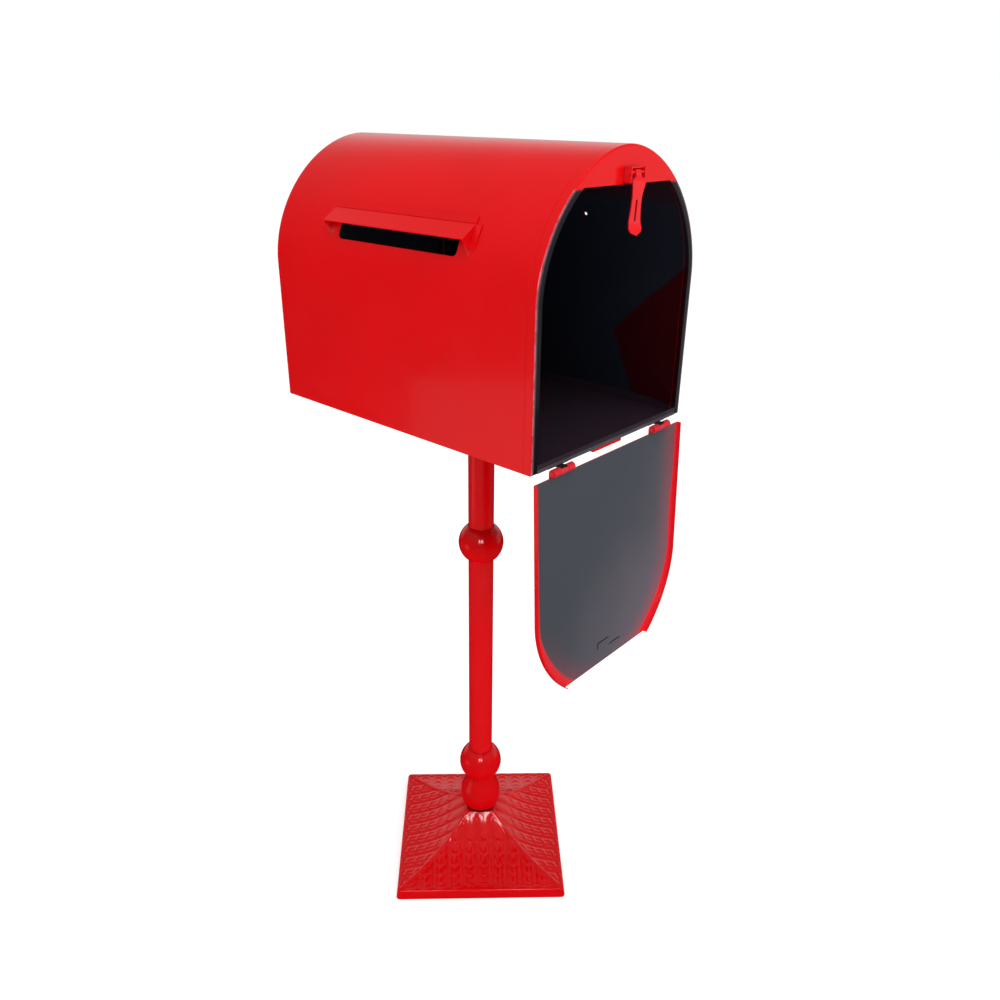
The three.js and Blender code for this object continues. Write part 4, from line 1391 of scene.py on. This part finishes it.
    def build(self) -> None:
        """Builds and dresses the foot."""
        bm = self.side()
        geom = everything(bm)
        for quarter in (1, 2, 3):
            copy = bmesh.ops.duplicate(bm, geom=geom)["geom"]
            verts = [g for g in copy if isinstance(g, BMVert)]
            bmesh.ops.rotate(bm, matrix=Matrix.Rotation(quarter * math.pi / 2, 3, "Z"), verts=verts)
        bmesh.ops.remove_doubles(bm, verts=bm.verts, dist=2e-5)
        bmesh.ops.holes_fill(bm, edges=[e for e in bm.edges if e.is_boundary], sides=0)
        bmesh.ops.recalc_face_normals(bm, faces=bm.faces)
        bmesh.ops.rotate(bm, matrix=Matrix.Rotation(math.radians(self.turn), 3, "Z"), verts=bm.verts)
        foot = new_object("foot", bm, (self.enamel,))
        Piece("cast_foot", Body.BOX, Slot.CASTING, ["base_casting"], 0.0, 60.0).done(foot)


# ------------------------------------------------------------------ fasteners


@dataclass
class Fasteners:
    """The bolts, nuts, washers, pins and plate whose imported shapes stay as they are.

    Attributes:
        zinc: Finish of the plated fasteners.
        black: Finish of the painted ones.
    """

    zinc: PlainMetal = PlainMetal("zinc_plate", rgb(176, 178, 180), rgb(120, 118, 112), 0.9, 0.38)
    black: PlainMetal = PlainMetal("satin_black", rgb(22, 21, 23), rgb(52, 48, 48), 0.0, 0.45)

    def build(self, red: Material) -> None:
        """Dresses every node that is still shown.

        Args:
            red: The pins' enamel.
        """
        zinc, black = self.zinc.material(), self.black.material()
        painted = dict.fromkeys(("top_flange", "floor_bolt", "tie_nut_top", "tie_washer_top"), black)
        painted |= dict.fromkeys(("hasp_pin", "hinge_pin"), red)
        for name, node in frame["nodes"].items():
            if node.hide_render:
                continue
            finish = next((painted[start] for start in painted if name.startswith(start)), zinc)
            node.data.materials.clear()
            node.data.materials.append(finish)
            LOG.info("%s: dressed in %s", name, finish.name)


# ------------------------------------------------------------------ the studio


@dataclass(frozen=True)
class Lamp:
    """An area light.

    Attributes:
        name: Its name.
        place: Where it hangs, in metres.
        aim: What it points at.
        size: Its width and height, in metres.
        power: Its power, in watts.
        glossy: Whether it lights reflections only, or all but reflections.
    """

    name: str
    place: tuple[float, float, float]
    aim: tuple[float, float, float]
    size: Point
    power: float
    glossy: bool = True

    def build(self) -> None:
        """Hangs the lamp."""
        light = bpy.data.lights.new(self.name, "AREA")
        light.shape = "RECTANGLE"
        light.size, light.size_y = self.size
        light.energy = self.power
        lamp = bpy.data.objects.new(self.name, light)
        bpy.context.scene.collection.objects.link(lamp)
        lamp.location = self.place
        lamp.rotation_euler = (Vector(self.aim) - Vector(self.place)).to_track_quat("-Z", "Y").to_euler()
        lamp.visible_glossy = self.glossy
        lamp.visible_diffuse = not self.glossy
        lamp.visible_camera = False


@dataclass
class Studio:
    """A pale floor, soft light and the camera.

    Attributes:
        azimuth: The camera's turn, in degrees; 0 looks along +Y.
        pitch: How far it looks down, in degrees.
        roll: Its roll, in degrees.
        place: Where it stands.
        lens: Its focal length, in millimetres, on a 36 mm sensor.
        room: Strength of the light from all round.
    """

    azimuth: float = -48.36
    pitch: float = 24.39
    roll: float = 0.72
    place: tuple[float, float, float] = (-0.97617, -0.9106, 1.35935)
    lens: float = 31.126
    room: float = 0.79

    def build(self) -> None:
        """Sets up the floor, the lights and the camera."""
        self.floor()
        self.sky()
        self.lights()
        self.camera()

    def floor(self) -> None:
        """A wide pale floor."""
        bm = bmesh.new()
        bmesh.ops.create_grid(bm, x_segments=1, y_segments=1, size=30.0)
        floor = new_object("ground", bm)
        graph = Paint("pale_floor")
        tone = graph.mix(graph.noise(2.0, 2.0) * 0.2, rgb(250, 250, 250), rgb(246, 246, 247))
        matt = {"Roughness": 0.9, "Specular_IOR_Level": 0.1}
        glow = {"Emission_Color": (1, 1, 1, 1), "Emission_Strength": 0.32}
        floor.data.materials.append(graph.finish(Base_Color=tone, **matt, **glow))
        floor.visible_glossy = False

    def sky(self) -> None:
        """A white background, with a darker room in the reflections."""
        world = bpy.data.worlds.new("studio")
        bpy.context.scene.world = world
        world.use_nodes = True
        graph = Graph(world.node_tree)
        direction = graph.node("ShaderNodeTexCoord", output="Generated")
        x, y, z = (graph.node("ShaderNodeSeparateXYZ", sockets={0: direction}, output=i) for i in range(3))
        room = 0.008 + z.step(-0.12, 0.25) * 0.04 + z.step(0.1, 0.95) * 0.12
        behind = (x * 0.72 + y * 0.69).step(0.3, 0.85)
        band = z.step(-0.22, 0.02) * (1.0 - z.step(0.25, 0.72))
        room = room + behind * band * 0.5
        glossy, camera = (
            graph.node("ShaderNodeLightPath", output=f"Is {ray} Ray") for ray in ("Glossy", "Camera")
        )
        strength = camera + (1.0 - camera) * (room * glossy + (1.0 - glossy) * self.room)
        paper = {"Color": (1, 1, 1, 1), "Strength": strength}
        light = graph.node("ShaderNodeBackground", sockets=paper)
        end = world.node_tree.nodes.new("ShaderNodeOutputWorld")
        world.node_tree.links.new(light.socket, end.inputs[0])

    def lights(self) -> None:
        """A soft key and a fill that aren't mirrored, and four lamps that are only mirrored."""
        for lamp in (
            Lamp("top", (-0.3, -0.9, 3.4), (0, 0, 1.2), (2.6, 2.6), 38, False),
            Lamp("front", (0.7, -3.2, 1.7), (0, -0.2, 0.9), (2.0, 2.0), 13, False),
            Lamp("window_left", (-1.66, -1.18, 1.6), (0, 0, 0.5), (0.26, 0.6), 5),
            Lamp("window_right", (-1.32, -1.50, 1.6), (0, 0, 0.5), (0.26, 0.6), 5),
            Lamp("patch", (-1.95, 1.15, 0.02), (-0.18, -0.2, 0.98), (1.1, 0.7), 0.55),
            Lamp("low_front", (2.05, -1.35, 0.85), (0.05, -0.27, 1.1), (1.3, 1.3), 1.3),
        ):
            lamp.build()

    def camera(self) -> None:
        """The camera, at its place and turned by its angles."""
        turn, down, roll = (math.radians(a) for a in (self.azimuth, self.pitch, self.roll))
        ahead = Vector((-math.sin(turn) * math.cos(down), math.cos(turn) * math.cos(down), -math.sin(down)))
        right = Vector((math.cos(turn), math.sin(turn), 0))
        up = right.cross(ahead)
        tilted = right * math.cos(roll) + up * math.sin(roll)
        upright = up * math.cos(roll) - right * math.sin(roll)
        data = bpy.data.cameras.new("camera")
        data.lens = self.lens
        data.sensor_width = 36.0
        data.clip_end = 100.0
        camera = bpy.data.objects.new("camera", data)
        bpy.context.scene.collection.objects.link(camera)
        axes = Matrix((tilted, upright, -ahead)).transposed().to_4x4()
        camera.matrix_world = Matrix.Translation(self.place) @ axes
        bpy.context.scene.camera = camera


def main() -> None:
    """Builds the mailbox and its studio."""
    logging.basicConfig(level=logging.INFO, format="%(name)s %(message)s")
    bpy.context.scene.view_settings.view_transform = "Standard"
    red = Enamel("red_enamel").material()
    cast = Enamel("cast_enamel", rgb(216, 0, 8), rgb(196, 0, 2), 0.12, 0.0005, 0.00003, 180.0).material()
    box = MailBox(red)
    box.build()
    # Painted shade for the recess under the bell and the walls of the door's slits.
    shade = PlainMetal("recess_shade", rgb(34, 8, 12), rgb(20, 6, 8), 0.0, 0.6).material()
    Door(red, shade, box).build()
    tongue = Enamel("hasp_enamel", rgb(232, 18, 28), rgb(214, 6, 16), 0.24, 0.0).material()
    Hasp(tongue).build()
    Post(red, cast, shade).build()
    Foot(cast).build()
    Fasteners().build(tongue)
    Studio().build()


if __name__ == "__main__":
    main()
